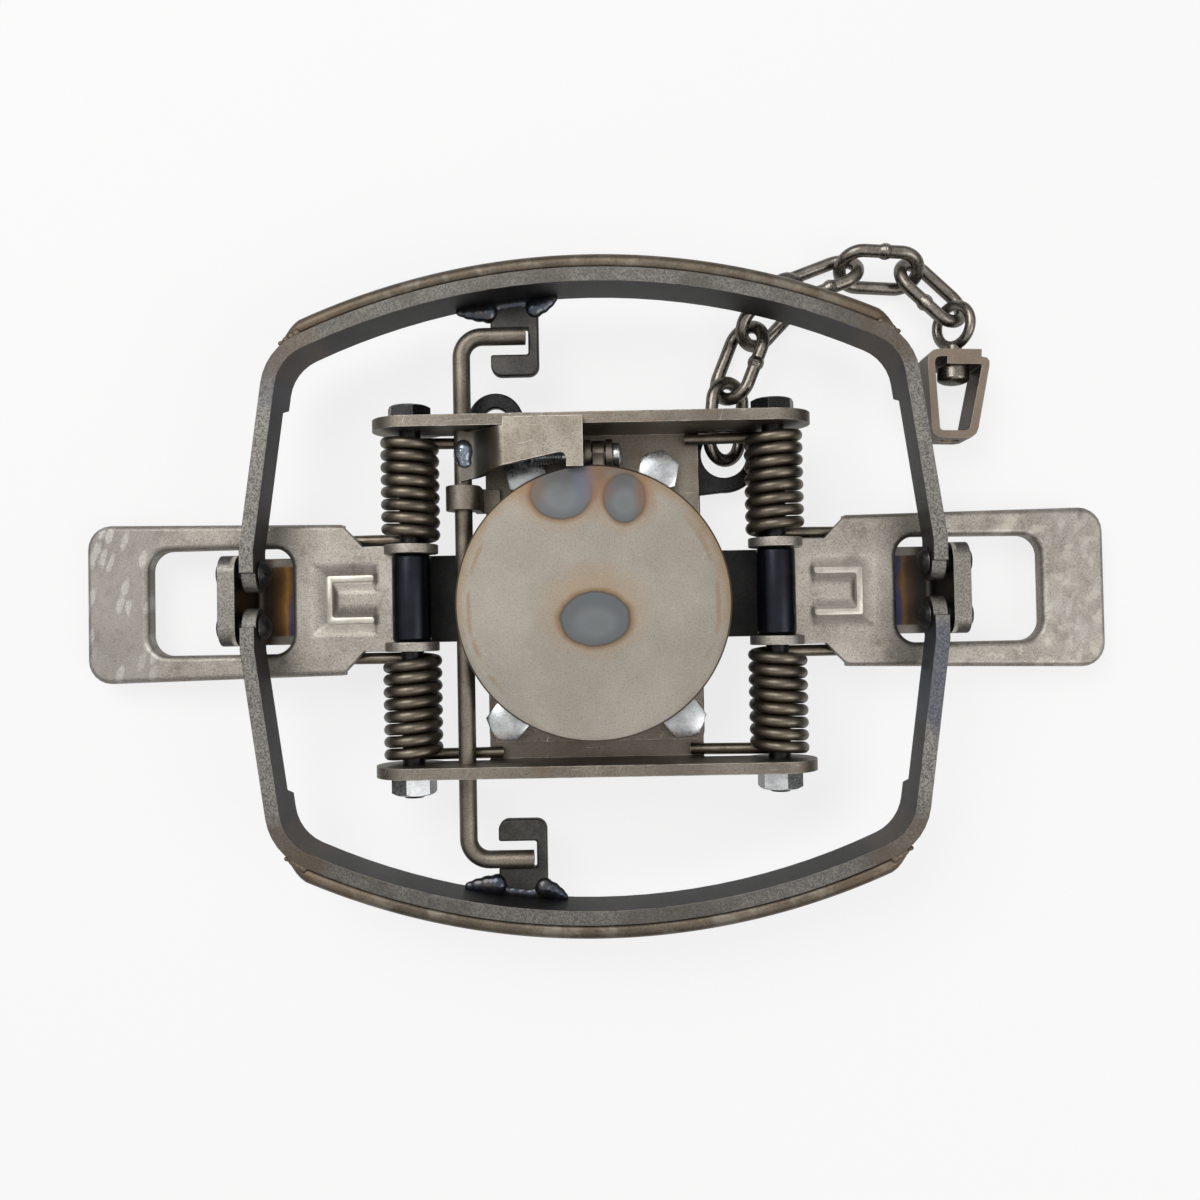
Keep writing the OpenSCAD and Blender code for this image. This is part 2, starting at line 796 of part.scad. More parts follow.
module spring_front_right() {
    mirror([0, 1, 0]) spring();
}

module spring_front_left() {
    mirror([1, 0, 0]) mirror([0, 1, 0]) spring();
}

module trigger_rod() {
    bend = 6;
    color("gray")
        front_and_rear() {
            bar_y(0, rod_reach - bend, -rod_x, rod_z, rod_d);
            translate([-rod_x + bend, rod_reach - bend, rod_z])
                rotate(90)
                    rotate_extrude(angle = 90)
                        translate([bend, 0]) circle(d = rod_d);
            bar_x(-rod_x + bend, toe_end, rod_reach, rod_z, rod_d);
        }
}

// The plate on the rod climbs to a flat over the rail and ends in a hook at the pan
plate_back = rail_in - 0.6;
plate_lap = 0.2;

module trigger_plate() {
    rise = 6.5;
    low = rod_z + rod_d / 2 + 0.05;
    flat = rail_top + trigger_gap + trigger_t;
    lip_start = rail_top - rod_z + 1.2;
    hook_w = 4.8;
    hook_drop = 4;
    neck = 7.5;
    slant = 10.5;
    slant_drop = 2.7;
    notch_r = 1.3;
    over = 2.4;
    tip = -rod_x + trigger_len;
    hook_x = tip - hook_w;
    neck_y = plate_back - neck;
    color("gray")
        difference() {
            union() {
                slab_y(plate_back - trigger_w, plate_back)
                    polygon([[-rod_x - plate_lap, low], [-rod_x + 1, low], [-rod_x + rise, flat - trigger_t],
                        [tip, flat - trigger_t], [tip, flat], [-rod_x + rise - 1, flat],
                        [-rod_x, low + trigger_t], [-rod_x - plate_lap, low + trigger_t]]);
                translate([-rod_x + lip_start, plate_back - 0.1, flat - trigger_t])
                    cube([trigger_len - lip_start, over + 0.1, trigger_t]);
            }
            translate([0, 0, rod_z])
                linear_extrude(flat - rod_z + 1)
                    union() {
                        polygon([[-rod_x, plate_back - trigger_w], [-rod_x + slant, neck_y - slant_drop],
                            [hook_x - 2 * notch_r, neck_y], [hook_x, neck_y], [hook_x, neck_y - hook_drop],
                            [tip + 1, neck_y - hook_drop], [tip + 1, plate_back - trigger_w - 1],
                            [-rod_x, plate_back - trigger_w - 1]]);
                        translate([hook_x - notch_r, neck_y]) circle(notch_r);
                    }
        }
}

module trigger_weld() {
    bead_r = 2.2;
    bead_y = plate_back - trigger_w / 2;
    bead_x = rod_d / 2 - 0.6;
    color("lightslategray")
        difference() {
            translate([-rod_x - bead_x, bead_y, rod_z + bead_x]) sphere(bead_r);
            bar_y(0, rail_out, -rod_x, rod_z, rod_d + 2 * fit);
            translate([-rod_x - plate_lap - fit, 0, rod_z])
                cube([rod_d, rail_out, 2 * rod_d]);
        }
}

module pan() {
    edge = 0.5;
    color("tan")
        translate([0, -pan_shift, pan_z])
            rotate_extrude()
                polygon([[0, 0], [pan_d / 2 - edge, 0], [pan_d / 2, edge], [pan_d / 2, pan_t - edge],
                    [pan_d / 2 - edge, pan_t], [0, pan_t]]);
}

// Strip welded under the pan, with a knuckle on the hinge bolt
module pan_arm() {
    arm_w = 14;
    arm_t = 2.4;
    knuckle_x = bracket_x + bracket_t + 0.2;
    knuckle_w = bracket_w - 2 * bracket_t - 0.4;
    knuckle_r = hinge_d / 2 + 1.8;
    arm_z = pan_z - arm_t - 0.02;
    rear = pan_d / 2 - pan_shift - 5;
    color("gray")
        difference() {
            union() {
                translate([knuckle_x + knuckle_w / 2 - arm_w / 2, -pan_shift - 8, arm_z])
                    cube([arm_w, rear + pan_shift + 8, arm_t]);
                slab_x(knuckle_x, knuckle_x + knuckle_w)
                    union() {
                        translate([hinge_y, hinge_z]) circle(knuckle_r);
                        polygon([[hinge_y, hinge_z + knuckle_r], [hinge_y, hinge_z - knuckle_r],
                            [rear - 14, arm_z], [rear - 14, arm_z + arm_t], [rear, arm_z + arm_t]]);
                    }
            }
            bar_x(knuckle_x - 1, knuckle_x + knuckle_w + 1, hinge_y, hinge_z, hinge_d + 2 * fit);
        }
}

// D-shaped plate that turns on a base bolt, with a hole for the chain; reach runs along +x
module swivel_shape(reach, hole) {
    eye = bolt_d / 2 + 4.5;
    half = hole + swivel_rim;
    difference() {
        union() {
            circle(eye);
            polygon([[0, -eye], [reach, -half], [reach, half], [0, eye]]);
            translate([reach, 0]) circle(half);
        }
        circle(d = bolt_d + 2 * fit);
        translate([reach, 0]) circle(hole);
    }
}

module swivel_plate(turn, reach, hole) {
    color("black")
        translate([rear_bolt_gap / 2, base_bolt_y, swivel_z])
            rotate(turn)
                linear_extrude(swivel_t)
                    swivel_shape(reach, hole);
}

module swivel_plate_right() {
    swivel_plate(swivel_turn_right, norm(hook_at), swivel_hole);
}

module swivel_plate_left() {
    mirror([1, 0, 0]) swivel_plate(spare_turn, spare_reach, spare_hole);
}

module link_shape(end, arc, d) {
    straight = end - arc;
    for (s = [0, 180])
        rotate(s) {
            translate([straight, 0, 0])
                rotate(-90)
                    rotate_extrude(angle = 180)
                        translate([arc, 0]) circle(d = d, $fn = 24);
            translate([-straight, arc, 0])
                rotate([0, 90, 0])
                    cylinder(h = 2 * straight, d = d, $fn = 24);
        }
}

module chain_link(i) {
    middle = chain_joint(i) + link_step * heading(link_turns[i]);
    color("gray")
        translate([middle.x, middle.y, link_lift(link_rolls[i])])
            rotate(link_turns[i])
                rotate([link_rolls[i], 0, 0])
                    link_shape(link_end, link_arc, link_d);
}

module chain_link_1() {
    chain_link(0);
}

module chain_link_2() {
    chain_link(1);
}

module chain_link_3() {
    chain_link(2);
}

module chain_link_4() {
    chain_link(3);
}

module chain_link_5() {
    chain_link(4);
}

module chain_link_6() {
    chain_link(5);
}

// Eye, stem and rivet head of the end swivel; x runs away from the chain
stem_start = eye_arc + eye_d / 2 - 0.4;
collar = 1.2;
head_r = 4.6;
head_t = 3;

module eye_frame() {
    translate([eye_mid.x, eye_mid.y, box_z])
        rotate(eye_turn)
            children();
}

module swivel_eye() {
    inside = stem_start + collar + 2 * box_t;
    color("gray")
        eye_frame() {
            rotate([eye_roll, 0, 0])
                rotate_extrude()
                    translate([eye_arc, 0]) circle(d = eye_d, $fn = 24);
            bar_x(stem_start - 0.9, inside + 0.2, 0, 0, stem_d);
            bar_x(inside + 0.2, inside + 0.2 + head_t, 0, 0, 2 * head_r);
        }
}

// An outline with each corner rounded over its own length; 0 keeps a corner sharp
function toward(a, b) = (b - a) / norm(b - a);
function eased(points, cuts) = let (n = len(points), steps = 3)
    [for (i = [0:n - 1])
        let (p = points[i], back = toward(p, points[(i + n - 1) % n]), on = toward(p, points[(i + 1) % n]))
        each cuts[i] == 0 ? [p] : [for (j = [0:steps]) let (k = j / steps)
            p + cuts[i] * (pow(1 - k, 2) * back + pow(k, 2) * on)]];

// A strap bent into a box, its two ends lapped at the stem
module swivel_box() {
    start = stem_start + collar;
    end = start + box_len;
    wide = 9.5;
    narrow_left = 7.6;
    narrow_right = 5.2;
    lap_out = 6.4;
    lap_in = -3.6;
    end_hole = 6;
    outer_rounds = [4, 3, 3, 2.6, 0, 0];
    inner_rounds = [2, 1, 1, 0.6, 0, 0];
    function left_wall(x) = -wide + (wide - narrow_left) * (x - start) / box_len;
    function right_wall(x) = wide - (wide - narrow_right) * (x - start) / box_len;
    color("saddlebrown")
        eye_frame()
            difference() {
                translate([0, 0, -box_h / 2])
                    linear_extrude(box_h)
                        difference() {
                            polygon(eased([[start, left_wall(start)], [end, left_wall(end)],
                                [end, right_wall(end)], [start + box_t, right_wall(start + box_t)],
                                [start + box_t, lap_out], [start, lap_out]], outer_rounds));
                            polygon(eased([[start + box_t, left_wall(start) + box_t],
                                [end - box_t, left_wall(end) + box_t], [end - box_t, right_wall(end) - box_t],
                                [start + 2 * box_t, right_wall(start + 2 * box_t) - box_t],
                                [start + 2 * box_t, lap_in], [start + box_t, lap_in]], inner_rounds));
                        }
                bar_x(start - 1, start + 2 * box_t + 1, 0, 0, stem_d + 2 * fit);
                bar_x(end - box_t - 1, end + 1, (narrow_right - narrow_left) / 2, 0, end_hole);
            }
}

frame_strip();
cross_plate();
lower_plate();
clamp_bar();
base_bolts();
spring_bolt(-1);  // spring_bolt_left
spring_bolt(1);  // spring_bolt_right
spring_nuts();
spacer_tube(-1);  // spacer_tube_left
spacer_tube(1);  // spacer_tube_right
rod_loop();
pan_bracket();
pan_hinge_bolt();
jaw_pins(-1);  // jaw_pins_left
jaw_pins(1);  // jaw_pins_right
rear_jaw();
rear_jaw_rod();
rear_tab();
rear_tab_weld();
front_jaw();
front_jaw_rod();
front_tab();
front_tab_weld();
left_lever();
right_lever();
spring_rear_left();
spring_rear_right();
spring_front_left();
spring_front_right();
trigger_rod();
trigger_plate();
trigger_weld();
pan();
pan_arm();
swivel_plate_left();
swivel_plate_right();
chain_link_1();
chain_link_2();
chain_link_3();
chain_link_4();
chain_link_5();
chain_link_6();
swivel_eye();
swivel_box();
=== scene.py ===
# %% [markdown]
# # A set leghold trap, seen from above
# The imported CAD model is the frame: its nodes already sit where the real pieces sit, in metres. This lesson
# adds what CAD leaves out: a camera, a floor and light, rounded edges, wound springs, weld beads, threads
# and worn metal.

# %% Load the frame
import json
import math
import bmesh
import bpy
from mathutils import Euler, Matrix, Vector


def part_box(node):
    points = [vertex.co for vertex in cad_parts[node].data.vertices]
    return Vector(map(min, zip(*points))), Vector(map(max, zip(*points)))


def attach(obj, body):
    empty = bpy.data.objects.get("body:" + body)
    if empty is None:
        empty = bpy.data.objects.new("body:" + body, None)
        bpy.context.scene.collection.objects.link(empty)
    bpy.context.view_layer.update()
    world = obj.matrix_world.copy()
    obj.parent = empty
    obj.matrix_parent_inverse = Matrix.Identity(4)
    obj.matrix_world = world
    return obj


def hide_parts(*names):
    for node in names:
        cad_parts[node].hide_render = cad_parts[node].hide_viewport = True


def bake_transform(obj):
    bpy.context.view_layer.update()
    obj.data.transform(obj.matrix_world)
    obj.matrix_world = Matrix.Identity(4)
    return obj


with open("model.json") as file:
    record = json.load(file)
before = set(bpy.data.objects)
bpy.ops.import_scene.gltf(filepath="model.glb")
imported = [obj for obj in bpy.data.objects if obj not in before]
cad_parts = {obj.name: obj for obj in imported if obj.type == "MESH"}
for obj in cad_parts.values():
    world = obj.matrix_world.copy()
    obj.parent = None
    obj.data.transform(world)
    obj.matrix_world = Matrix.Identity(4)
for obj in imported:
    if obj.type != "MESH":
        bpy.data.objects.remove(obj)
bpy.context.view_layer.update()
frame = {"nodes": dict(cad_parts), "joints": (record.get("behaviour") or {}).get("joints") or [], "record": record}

MM = 0.001
body_of_node = {n: b for b, names in frame["record"]["behaviour"]["bodies"].items() for n in names}
joint_at = {j["name"]: Vector(j["pos_m"]) for j in frame["joints"]}


def mm(x, y, z):
    return Vector((x, y, z)) * MM


# %% [markdown]
# ## Camera
# The photograph looks almost straight down with a wide lens from about a third of a metre. Its place was
# found by matching bolt heads, rail ends and lever ends, and the lens is given for an image of 1200 by 1200
# pixels.

# %% Camera
image_side = 1200
focal_px = 1123.2
camera_at = (3.78, -9.11, 337.7)
camera_turn = (1.36, 0.40, -1.07)
lens = bpy.data.cameras.new("camera")
lens.sensor_width = 36
lens.lens = lens.sensor_width * focal_px / image_side
lens.clip_start = 0.01
camera = bpy.data.objects.new("camera", lens)
camera.location = mm(*camera_at)
camera.rotation_euler = Euler([math.radians(a) for a in camera_turn])
bpy.context.scene.collection.objects.link(camera)
bpy.context.scene.camera = camera
bpy.context.scene.view_settings.view_transform = "Standard"
print("lens", round(lens.lens, 2), "mm")

# %% [markdown]
# ## Shader sums
# A material is a graph of nodes. Two small classes let us write it as Python sums: a Wire is one socket,
# and a Finish is one material with a method that adds any node. Numbers alone stay numbers; only sums with
# a Wire add Math nodes.

# %% Shader helpers


class Wire:
    """One socket of a finish, so that shader maths reads as Python sums."""

    def __init__(self, finish, socket):
        self.finish = finish
        self.socket = socket

    def math(self, operation, a, b=0.0, clamp=False):
        return self.finish.node("ShaderNodeMath", {"operation": operation, "use_clamp": clamp}, {0: a, 1: b})

    def __add__(self, other):
        return self.math("ADD", self, other)

    def __radd__(self, other):
        return self.math("ADD", other, self)

    def __sub__(self, other):
        return self.math("SUBTRACT", self, other)

    def __rsub__(self, other):
        return self.math("SUBTRACT", other, self)

    def __mul__(self, other):
        return self.math("MULTIPLY", self, other)

    def __truediv__(self, other):
        return self.math("DIVIDE", self, other)

    def __pow__(self, other):
        return self.math("POWER", self, other)

    def clamped(self):
        return self.math("ADD", self, 0.0, clamp=True)

    def size(self):
        return self.math("ABSOLUTE", self)

    def at_most(self, other):
        return self.math("MINIMUM", self, other)

    def at_least(self, other):
        return self.math("MAXIMUM", self, other)


class Finish:
    """One material: a Principled shader and the nodes that feed it."""

    def __init__(self, name):
        self.name = name
        self.material = bpy.data.materials.new(name)
        self.material.use_nodes = True
        self.tree = self.material.node_tree
        self.tree.nodes.clear()
        self.shader = self.tree.nodes.new("ShaderNodeBsdfPrincipled")
        out = self.tree.nodes.new("ShaderNodeOutputMaterial")
        self.tree.links.new(self.shader.outputs[0], out.inputs[0])

    def put(self, target, value):
        if isinstance(value, Wire):
            self.tree.links.new(value.socket, target)
        else:
            target.default_value = value

    def node(self, kind, settings=None, inputs=None, out=0):
        made = self.tree.nodes.new(kind)
        for key, value in (settings or {}).items():
            if key == "stops":
                ramp = made.color_ramp.elements
                while len(ramp) < len(value):
                    ramp.new(0.5)
                for stop, (place, colour) in zip(ramp, value):
                    stop.position = place
                    stop.color = colour
            else:
                setattr(made, key, value)
        for key, value in (inputs or {}).items():
            self.put(made.inputs[key], value)
        return Wire(self, made.outputs[out])

    def set(self, **sockets):
        for key, value in sockets.items():
            self.put(self.shader.inputs[key.replace("_", " ")], value)
        return self

    def place(self):
        return self.node("ShaderNodeTexCoord", out=3)

    def axes(self):
        where = self.place()
        return [self.node("ShaderNodeSeparateXYZ", None, {0: where}, out=i) for i in range(3)]

    def facing(self):
        return self.node("ShaderNodeNewGeometry", out=1)

    def upward(self):
        """How far the surface faces up: 1 on a flat top, 0 on an upright side."""
        return self.node("ShaderNodeSeparateXYZ", None, {0: self.facing()}, out=2)

    def stretched(self, scale, turn=0.0):
        """Object coordinates turned about Z and then scaled along the turned axes."""
        shrink = tuple(1 / s for s in scale)
        return self.node("ShaderNodeMapping", {"vector_type": "TEXTURE"},
                         {0: self.place(), 2: (0, 0, math.radians(turn)), 3: shrink})

    def noise(self, size, detail=3.0, rough=0.55, twist=0.0, where=None):
        inputs = {"Vector": where or self.place(), "Scale": 1 / (size * MM), "Detail": detail,
                  "Roughness": rough, "Distortion": twist}
        return self.node("ShaderNodeTexNoise", None, inputs)

    def cells(self, size, where=None, out=0):
        inputs = {"Vector": where or self.place(), "Scale": 1 / (size * MM)}
        return self.node("ShaderNodeTexVoronoi", {"voronoi_dimensions": "2D"}, inputs, out)

    def ramp(self, value, low, high):
        settings = {"interpolation_type": "SMOOTHSTEP"}
        return self.node("ShaderNodeMapRange", settings, {0: value, 1: low, 2: high})

    def mix(self, share, a, b, blend="MIX"):
        settings = {"data_type": "RGBA", "blend_type": blend}
        return self.node("ShaderNodeMix", settings, {0: share, 6: a, 7: b}, out=2)

    def edges(self, radius):
        rounded = self.node("ShaderNodeBevel", {"samples": 6}, {0: radius * MM})
        inputs = {0: rounded, 1: self.facing()}
        same = self.node("ShaderNodeVectorMath", {"operation": "DOT_PRODUCT"}, inputs, out=1)
        return self.ramp(1 - same, 0.01, 0.14)

    def bump(self, height, depth, strength=1.0, below=None):
        inputs = {"Height": height, "Distance": depth * MM, "Strength": strength}
        if below is not None:
            inputs["Normal"] = below
        return self.node("ShaderNodeBump", None, inputs)

    def spot(self, x, y, rx, ry, soft=0.35, wobble=0.12):
        """1 inside an ellipse on the plan, in millimetres, fading over its uneven edge."""
        px, py, _ = self.axes()
        dx = (px - x * MM) / (rx * MM)
        dy = (py - y * MM) / (ry * MM)
        far = (dx * dx + dy * dy) ** 0.5 + (self.noise(5, 2.0) - 0.5) * (2 * wobble)
        return self.ramp(far, 1 + soft / 2, 1 - soft / 2)


def paint(r, g, b):
    """A colour given as screen values from 0 to 255, as the linear values that shaders take."""
    def linear(v):
        v = v / 255
        return v / 12.92 if v <= 0.04045 else ((v + 0.055) / 1.055) ** 2.4
    return (linear(r), linear(g), linear(b), 1.0)


# %% [markdown]
# ## Floor, sky and lamps
# The photograph is cut out on white. A pale floor keeps the soft shadow, and a share of plain white, mostly
# for the camera, lifts it to the white of the page. Reflections see a bright ceiling over dim walls, as in
# a workshop, so flat tops shine and steep sides go dark. Two large lamps light the metal at a plain level.

# %% Floor, sky and lamps
floor_drop = 0.2
floor_half = 4
bm = bmesh.new()
bmesh.ops.create_grid(bm, x_segments=1, y_segments=1, size=floor_half)
bmesh.ops.translate(bm, verts=bm.verts, vec=mm(0, 0, -floor_drop))
floor_mesh = bpy.data.meshes.new("floor")
bm.to_mesh(floor_mesh)
bm.free()
floor = bpy.data.objects.new("floor", floor_mesh)
bpy.context.scene.collection.objects.link(floor)

floor_finish = Finish("floor_white")
floor_finish.set(Base_Color=(0.86, 0.86, 0.85, 1), Roughness=0.9)
floor_nodes = floor_finish.tree


def seen_from(finish, camera_share, mirror_share):
    """One share for rays from the camera and another for reflected rays."""
    camera_ray = finish.node("ShaderNodeLightPath", out=0)
    mirror_ray = finish.node("ShaderNodeLightPath", out=3)
    return camera_ray * camera_share + mirror_ray * mirror_share


white = floor_finish.node("ShaderNodeEmission", None, {0: (1, 1, 1, 1), 1: 1.0})
lift = floor_finish.node("ShaderNodeMixShader", None, {0: seen_from(floor_finish, 0.8, 0.25)})
lift_node = lift.socket.node
floor_nodes.links.new(floor_finish.shader.outputs[0], lift_node.inputs[1])
floor_nodes.links.new(white.socket, lift_node.inputs[2])
floor_out = next(n for n in floor_nodes.nodes if n.type == "OUTPUT_MATERIAL")
floor_nodes.links.new(lift.socket, floor_out.inputs[0])
floor.data.materials.append(floor_finish.material)


class Sky(Finish):
    """The world's nodes, written with the same helpers."""

    def __init__(self, world):
        world.use_nodes = True
        self.tree = world.node_tree


world = bpy.data.worlds.new("studio")
bpy.context.scene.world = world
sky = Sky(world)
background = next(n for n in sky.tree.nodes if n.type == "BACKGROUND")
background.inputs[0].default_value = (1, 1, 1, 1)
sky_light, wall_light, ceiling_light = 0.34, 0.22, 1.15
height = sky.node("ShaderNodeSeparateXYZ", None, {0: sky.node("ShaderNodeTexCoord")}, out=2)
ceiling = sky.ramp(height, 0.15, 0.85) * (ceiling_light - wall_light) + (wall_light - sky_light)
sky.put(background.inputs[1], sky_light + seen_from(sky, 1 - sky_light, ceiling))


def softbox(name, at, aim, side, power):
    lamp = bpy.data.lights.new(name, "AREA")
    lamp.size = side
    lamp.energy = power
    holder = bpy.data.objects.new(name, lamp)
    holder.location = at
    holder.rotation_euler = (Vector(aim) - Vector(at)).to_track_quat("-Z", "Y").to_euler()
    bpy.context.scene.collection.objects.link(holder)


softbox("key_lamp", (-0.45, 0.55, 0.95), (0, 0, 0), 0.7, 7.0)
softbox("fill_lamp", (0.7, -0.35, 0.8), (0, 0, 0), 0.6, 3.0)
print("floor at", -floor_drop, "mm")

# %% [markdown]
# ## Bare and blackened steel
# Nearly every piece is steel, but no two have the same skin: mill scale, black oxide, bright zinc, heat
# tint, brown oxide. One recipe makes the base: two colours clouded together, fine speckle, streaks along
# the rolling direction, worn bright edges and a shallow bump. Each finish then adds what only that piece
# shows.

# %% The steel recipe


def steel(name, pale, dark, worn, rough, metal=0.8, cloud=14, streak=(1, 1, 1), edge=0.5, depth=0.05,
          speckle=0.5):
    """Colours from 0 to 255, a range of roughness, sizes of clouds, worn edges and relief in millimetres."""
    f = Finish(name)
    clouds = f.ramp(f.noise(cloud, 5.0, 0.6), 0.36, 0.66)
    along = f.noise(0.7, 3.0, 0.6, 0.0, f.stretched(streak))
    grit = f.noise(0.45, 2.0, 0.7)
    f.tone = (clouds * 0.55 + f.ramp(along, 0.35, 0.68) * 0.45).clamped()
    colour = f.mix(f.tone, paint(*dark), paint(*pale))
    shade = f.ramp(grit, 0.30, 0.50) * speckle + (1 - speckle)
    grey = f.node("ShaderNodeCombineColor", None, {0: shade, 1: shade, 2: shade})
    colour = f.mix(1.0, colour, grey, "MULTIPLY")
    f.wear = f.edges(edge) * f.ramp(f.noise(2.5, 4.0, 0.65), 0.34, 0.6)
    f.colour = f.mix(f.wear, colour, paint(*worn))
    f.rough = (f.ramp(along, 0.25, 0.75) * (rough[1] - rough[0]) + rough[0] - f.wear * 0.08).clamped()
    f.relief = f.bump(along * 0.6 + grit * 0.4, depth)
    f.set(Metallic=metal)
    return f


finishes = {}


def done(f):
    """Joins a finish's colour, roughness and relief to its shader, and keeps its material."""
    f.set(Base_Color=f.colour, Roughness=f.rough, Normal=f.relief)
    finishes[f.name] = f.material
    print("finish", f.name, len(f.tree.nodes), "nodes")


# %% [markdown]
# ## Jaws, rods and pins
# The jaws are hot-rolled bar with dark scale. Only the gripping edge on top is rubbed grey, with specks of
# rust, and the corners, where rods were tacked on, have a brown and blue heat tint. The outer rods are
# brown.

# %% Jaw finishes
f = steel("jaw_steel", (58, 57, 55), (29, 29, 29), (150, 145, 137), (0.36, 0.58),
          metal=0.75, cloud=18, streak=(40, 40, 4), edge=0.45, depth=0.06)
up = f.upward()
rubbed = f.ramp(up, 0.4, 0.9)
py = f.axes()[1]
grain = f.ramp(f.noise(0.5, 3.0, 0.75), 0.36, 0.68)
top_tone = f.mix(grain, paint(80, 78, 75), paint(124, 121, 115))
leg = f.ramp(py.size() / MM, 72, 52)
top_tone = f.mix(leg * grain * 0.6, top_tone, paint(158, 154, 147))
dull = f.ramp(f.noise(16, 3.0), 0.4, 0.65)
top_tone = f.mix(dull * (1 - leg) * 0.6, top_tone, paint(74, 69, 62))
f.colour = f.mix(rubbed * (1 - f.wear) * 0.9, f.colour, top_tone)
# The rounded band between the top and the walls is painted paler in patches: partly rubbed metal, partly a painted
# highlight on the rounded edge.
lip_wear_and_highlight = f.ramp(up, 0.15, 0.45) * f.ramp(up, 0.97, 0.8)
f.colour = f.mix(lip_wear_and_highlight * f.ramp(f.noise(3, 3.0), 0.3, 0.55) * 0.7, f.colour, paint(152, 148, 140))
blue = f.spot(95, -25, 6, 16) + f.spot(-88, 62, 9, 9) * 0.4
f.colour = f.mix(blue.clamped() * 0.5, f.colour, paint(52, 60, 84))
brown = sum(f.spot(x, y, 13, 10) for y in (72, -72) for x in (-88, 88))
f.colour = f.mix(brown.clamped() * 0.45, f.colour, paint(86, 70, 55))
done(f)

done(steel("tab_steel", (72, 70, 66), (46, 44, 42), (112, 108, 102), (0.35, 0.5),
           metal=0.75, cloud=8, edge=0.4, depth=0.04, speckle=0.3))

f = steel("jaw_rod_steel", (112, 102, 88), (76, 67, 57), (150, 142, 128), (0.3, 0.48),
          metal=0.82, cloud=22, streak=(4, 40, 40))
bare = f.ramp(f.noise(9, 4.0, 0.65), 0.48, 0.64)
f.colour = f.mix(bare * 0.65, f.colour, paint(124, 118, 107))
pits = f.ramp(f.noise(1.6, 3.0, 0.7), 0.66, 0.72)
f.colour = f.mix(pits * 0.7, f.colour, paint(62, 46, 38))
px = f.axes()[0]
burnt = f.ramp(px.size() / MM + (f.noise(8, 3.0) - 0.5) * 16, 56, 80)
f.colour = f.mix(burnt * 0.45, f.colour, paint(94, 76, 60))
done(f)

f = steel("pin_steel", (58, 57, 55), (30, 30, 31), (104, 100, 95), (0.35, 0.55),
          cloud=4, edge=0.4)
f.relief = f.bump(f.noise(1.6, 2.0), 0.25, 0.8)
done(f)

f = steel("weld_metal", (82, 88, 97), (38, 41, 48), (128, 134, 142), (0.14, 0.28),
          metal=0.88, cloud=5, edge=0.3, depth=0.02, speckle=0.1)
hue = f.node("ShaderNodeValToRGB", {"stops": [(0.0, paint(40, 44, 54)), (0.45, paint(66, 74, 86)),
                                              (0.62, paint(84, 76, 68)), (1.0, paint(54, 62, 78))]},
             {0: f.noise(4, 3.0)})
f.colour = f.mix(0.55, f.colour, hue)
done(f)

done(steel("bead_metal", (146, 154, 162), (92, 100, 110), (190, 196, 202), (0.12, 0.26),
           metal=0.9, cloud=4, edge=0.3, depth=0.02, speckle=0.15))

# %% [markdown]
# ## Base, bolts and black parts
# The frame strip is black and glossy, and shows rainbow colours where it was heated to turn the posts up.
# The cross plate is bare rolled plate, the bolts have bright zinc, and the spring bolts and spacer tubes
# are black oxide.

# %% Base finishes
f = steel("strip_steel", (48, 47, 46), (20, 20, 21), (150, 145, 136), (0.22, 0.42),
          cloud=20, streak=(4, 40, 40))
px, py, pz = f.axes()
reach = px.size() / MM
heat = f.node("ShaderNodeValToRGB", {"stops": [(0.0, paint(24, 23, 23)), (0.28, paint(40, 36, 34)),
                                               (0.40, paint(62, 74, 118)), (0.47, paint(120, 80, 58)),
                                               (0.54, paint(176, 132, 70)), (0.62, paint(120, 86, 48)),
                                               (0.76, paint(66, 54, 44)), (1.0, paint(34, 31, 29))]},
              {0: f.ramp(reach + (f.noise(6, 3.0) - 0.5) * 3, 74, 105)})
heat = f.mix(f.ramp(px / MM, -1, 1) * 0.55, heat, paint(60, 60, 62))
f.colour = f.mix(f.ramp(reach, 70, 78) * (1 - f.wear) * 0.85, f.colour, heat)
cold = f.spot(-88.4, -7, 1.6, 9, 0.8) + f.spot(88.4, -6, 1.6, 8, 0.8) + f.spot(88.4, 9, 1.6, 5, 0.8)
f.colour = f.mix(cold.clamped() * 0.6, f.colour, paint(44, 66, 118))
up = f.upward()
crown = f.ramp(up, 0.5, 0.9) * f.ramp(pz / MM, 24, 27)
specks = f.mix(f.ramp(f.noise(0.5, 3.0, 0.75), 0.36, 0.66), paint(98, 94, 89), paint(140, 136, 129))
f.colour = f.mix(crown, f.colour, specks)
# Painted highlight: a pale beige line is painted where the posts bend up, standing in for light on the bend.
bend_tint_and_highlight = f.ramp(up, 0.1, 0.35) * f.ramp(up, 0.95, 0.75) * f.ramp(pz / MM, 20, 23) * f.ramp(reach, 100.6, 99.6)
f.colour = f.mix(bend_tint_and_highlight * 0.9, f.colour, paint(204, 196, 180))
margin = f.ramp(py.size() / MM, 9.9, 10.5) * f.ramp(reach, 76, 80) * f.ramp(reach, 96, 92)
f.colour = f.mix(margin * f.ramp(up, 0.8, 0.95) * 0.8, f.colour, paint(150, 146, 138))
done(f)

done(steel("black_steel", (42, 42, 43), (16, 16, 17), (112, 108, 102), (0.2, 0.4),
           metal=0.75, cloud=9, edge=0.4, depth=0.03, speckle=0.3))

done(steel("tube_steel", (34, 37, 46), (18, 20, 26), (84, 86, 94), (0.16, 0.3),
           cloud=9, streak=(30, 2, 30), edge=0.4, depth=0.02, speckle=0.1))


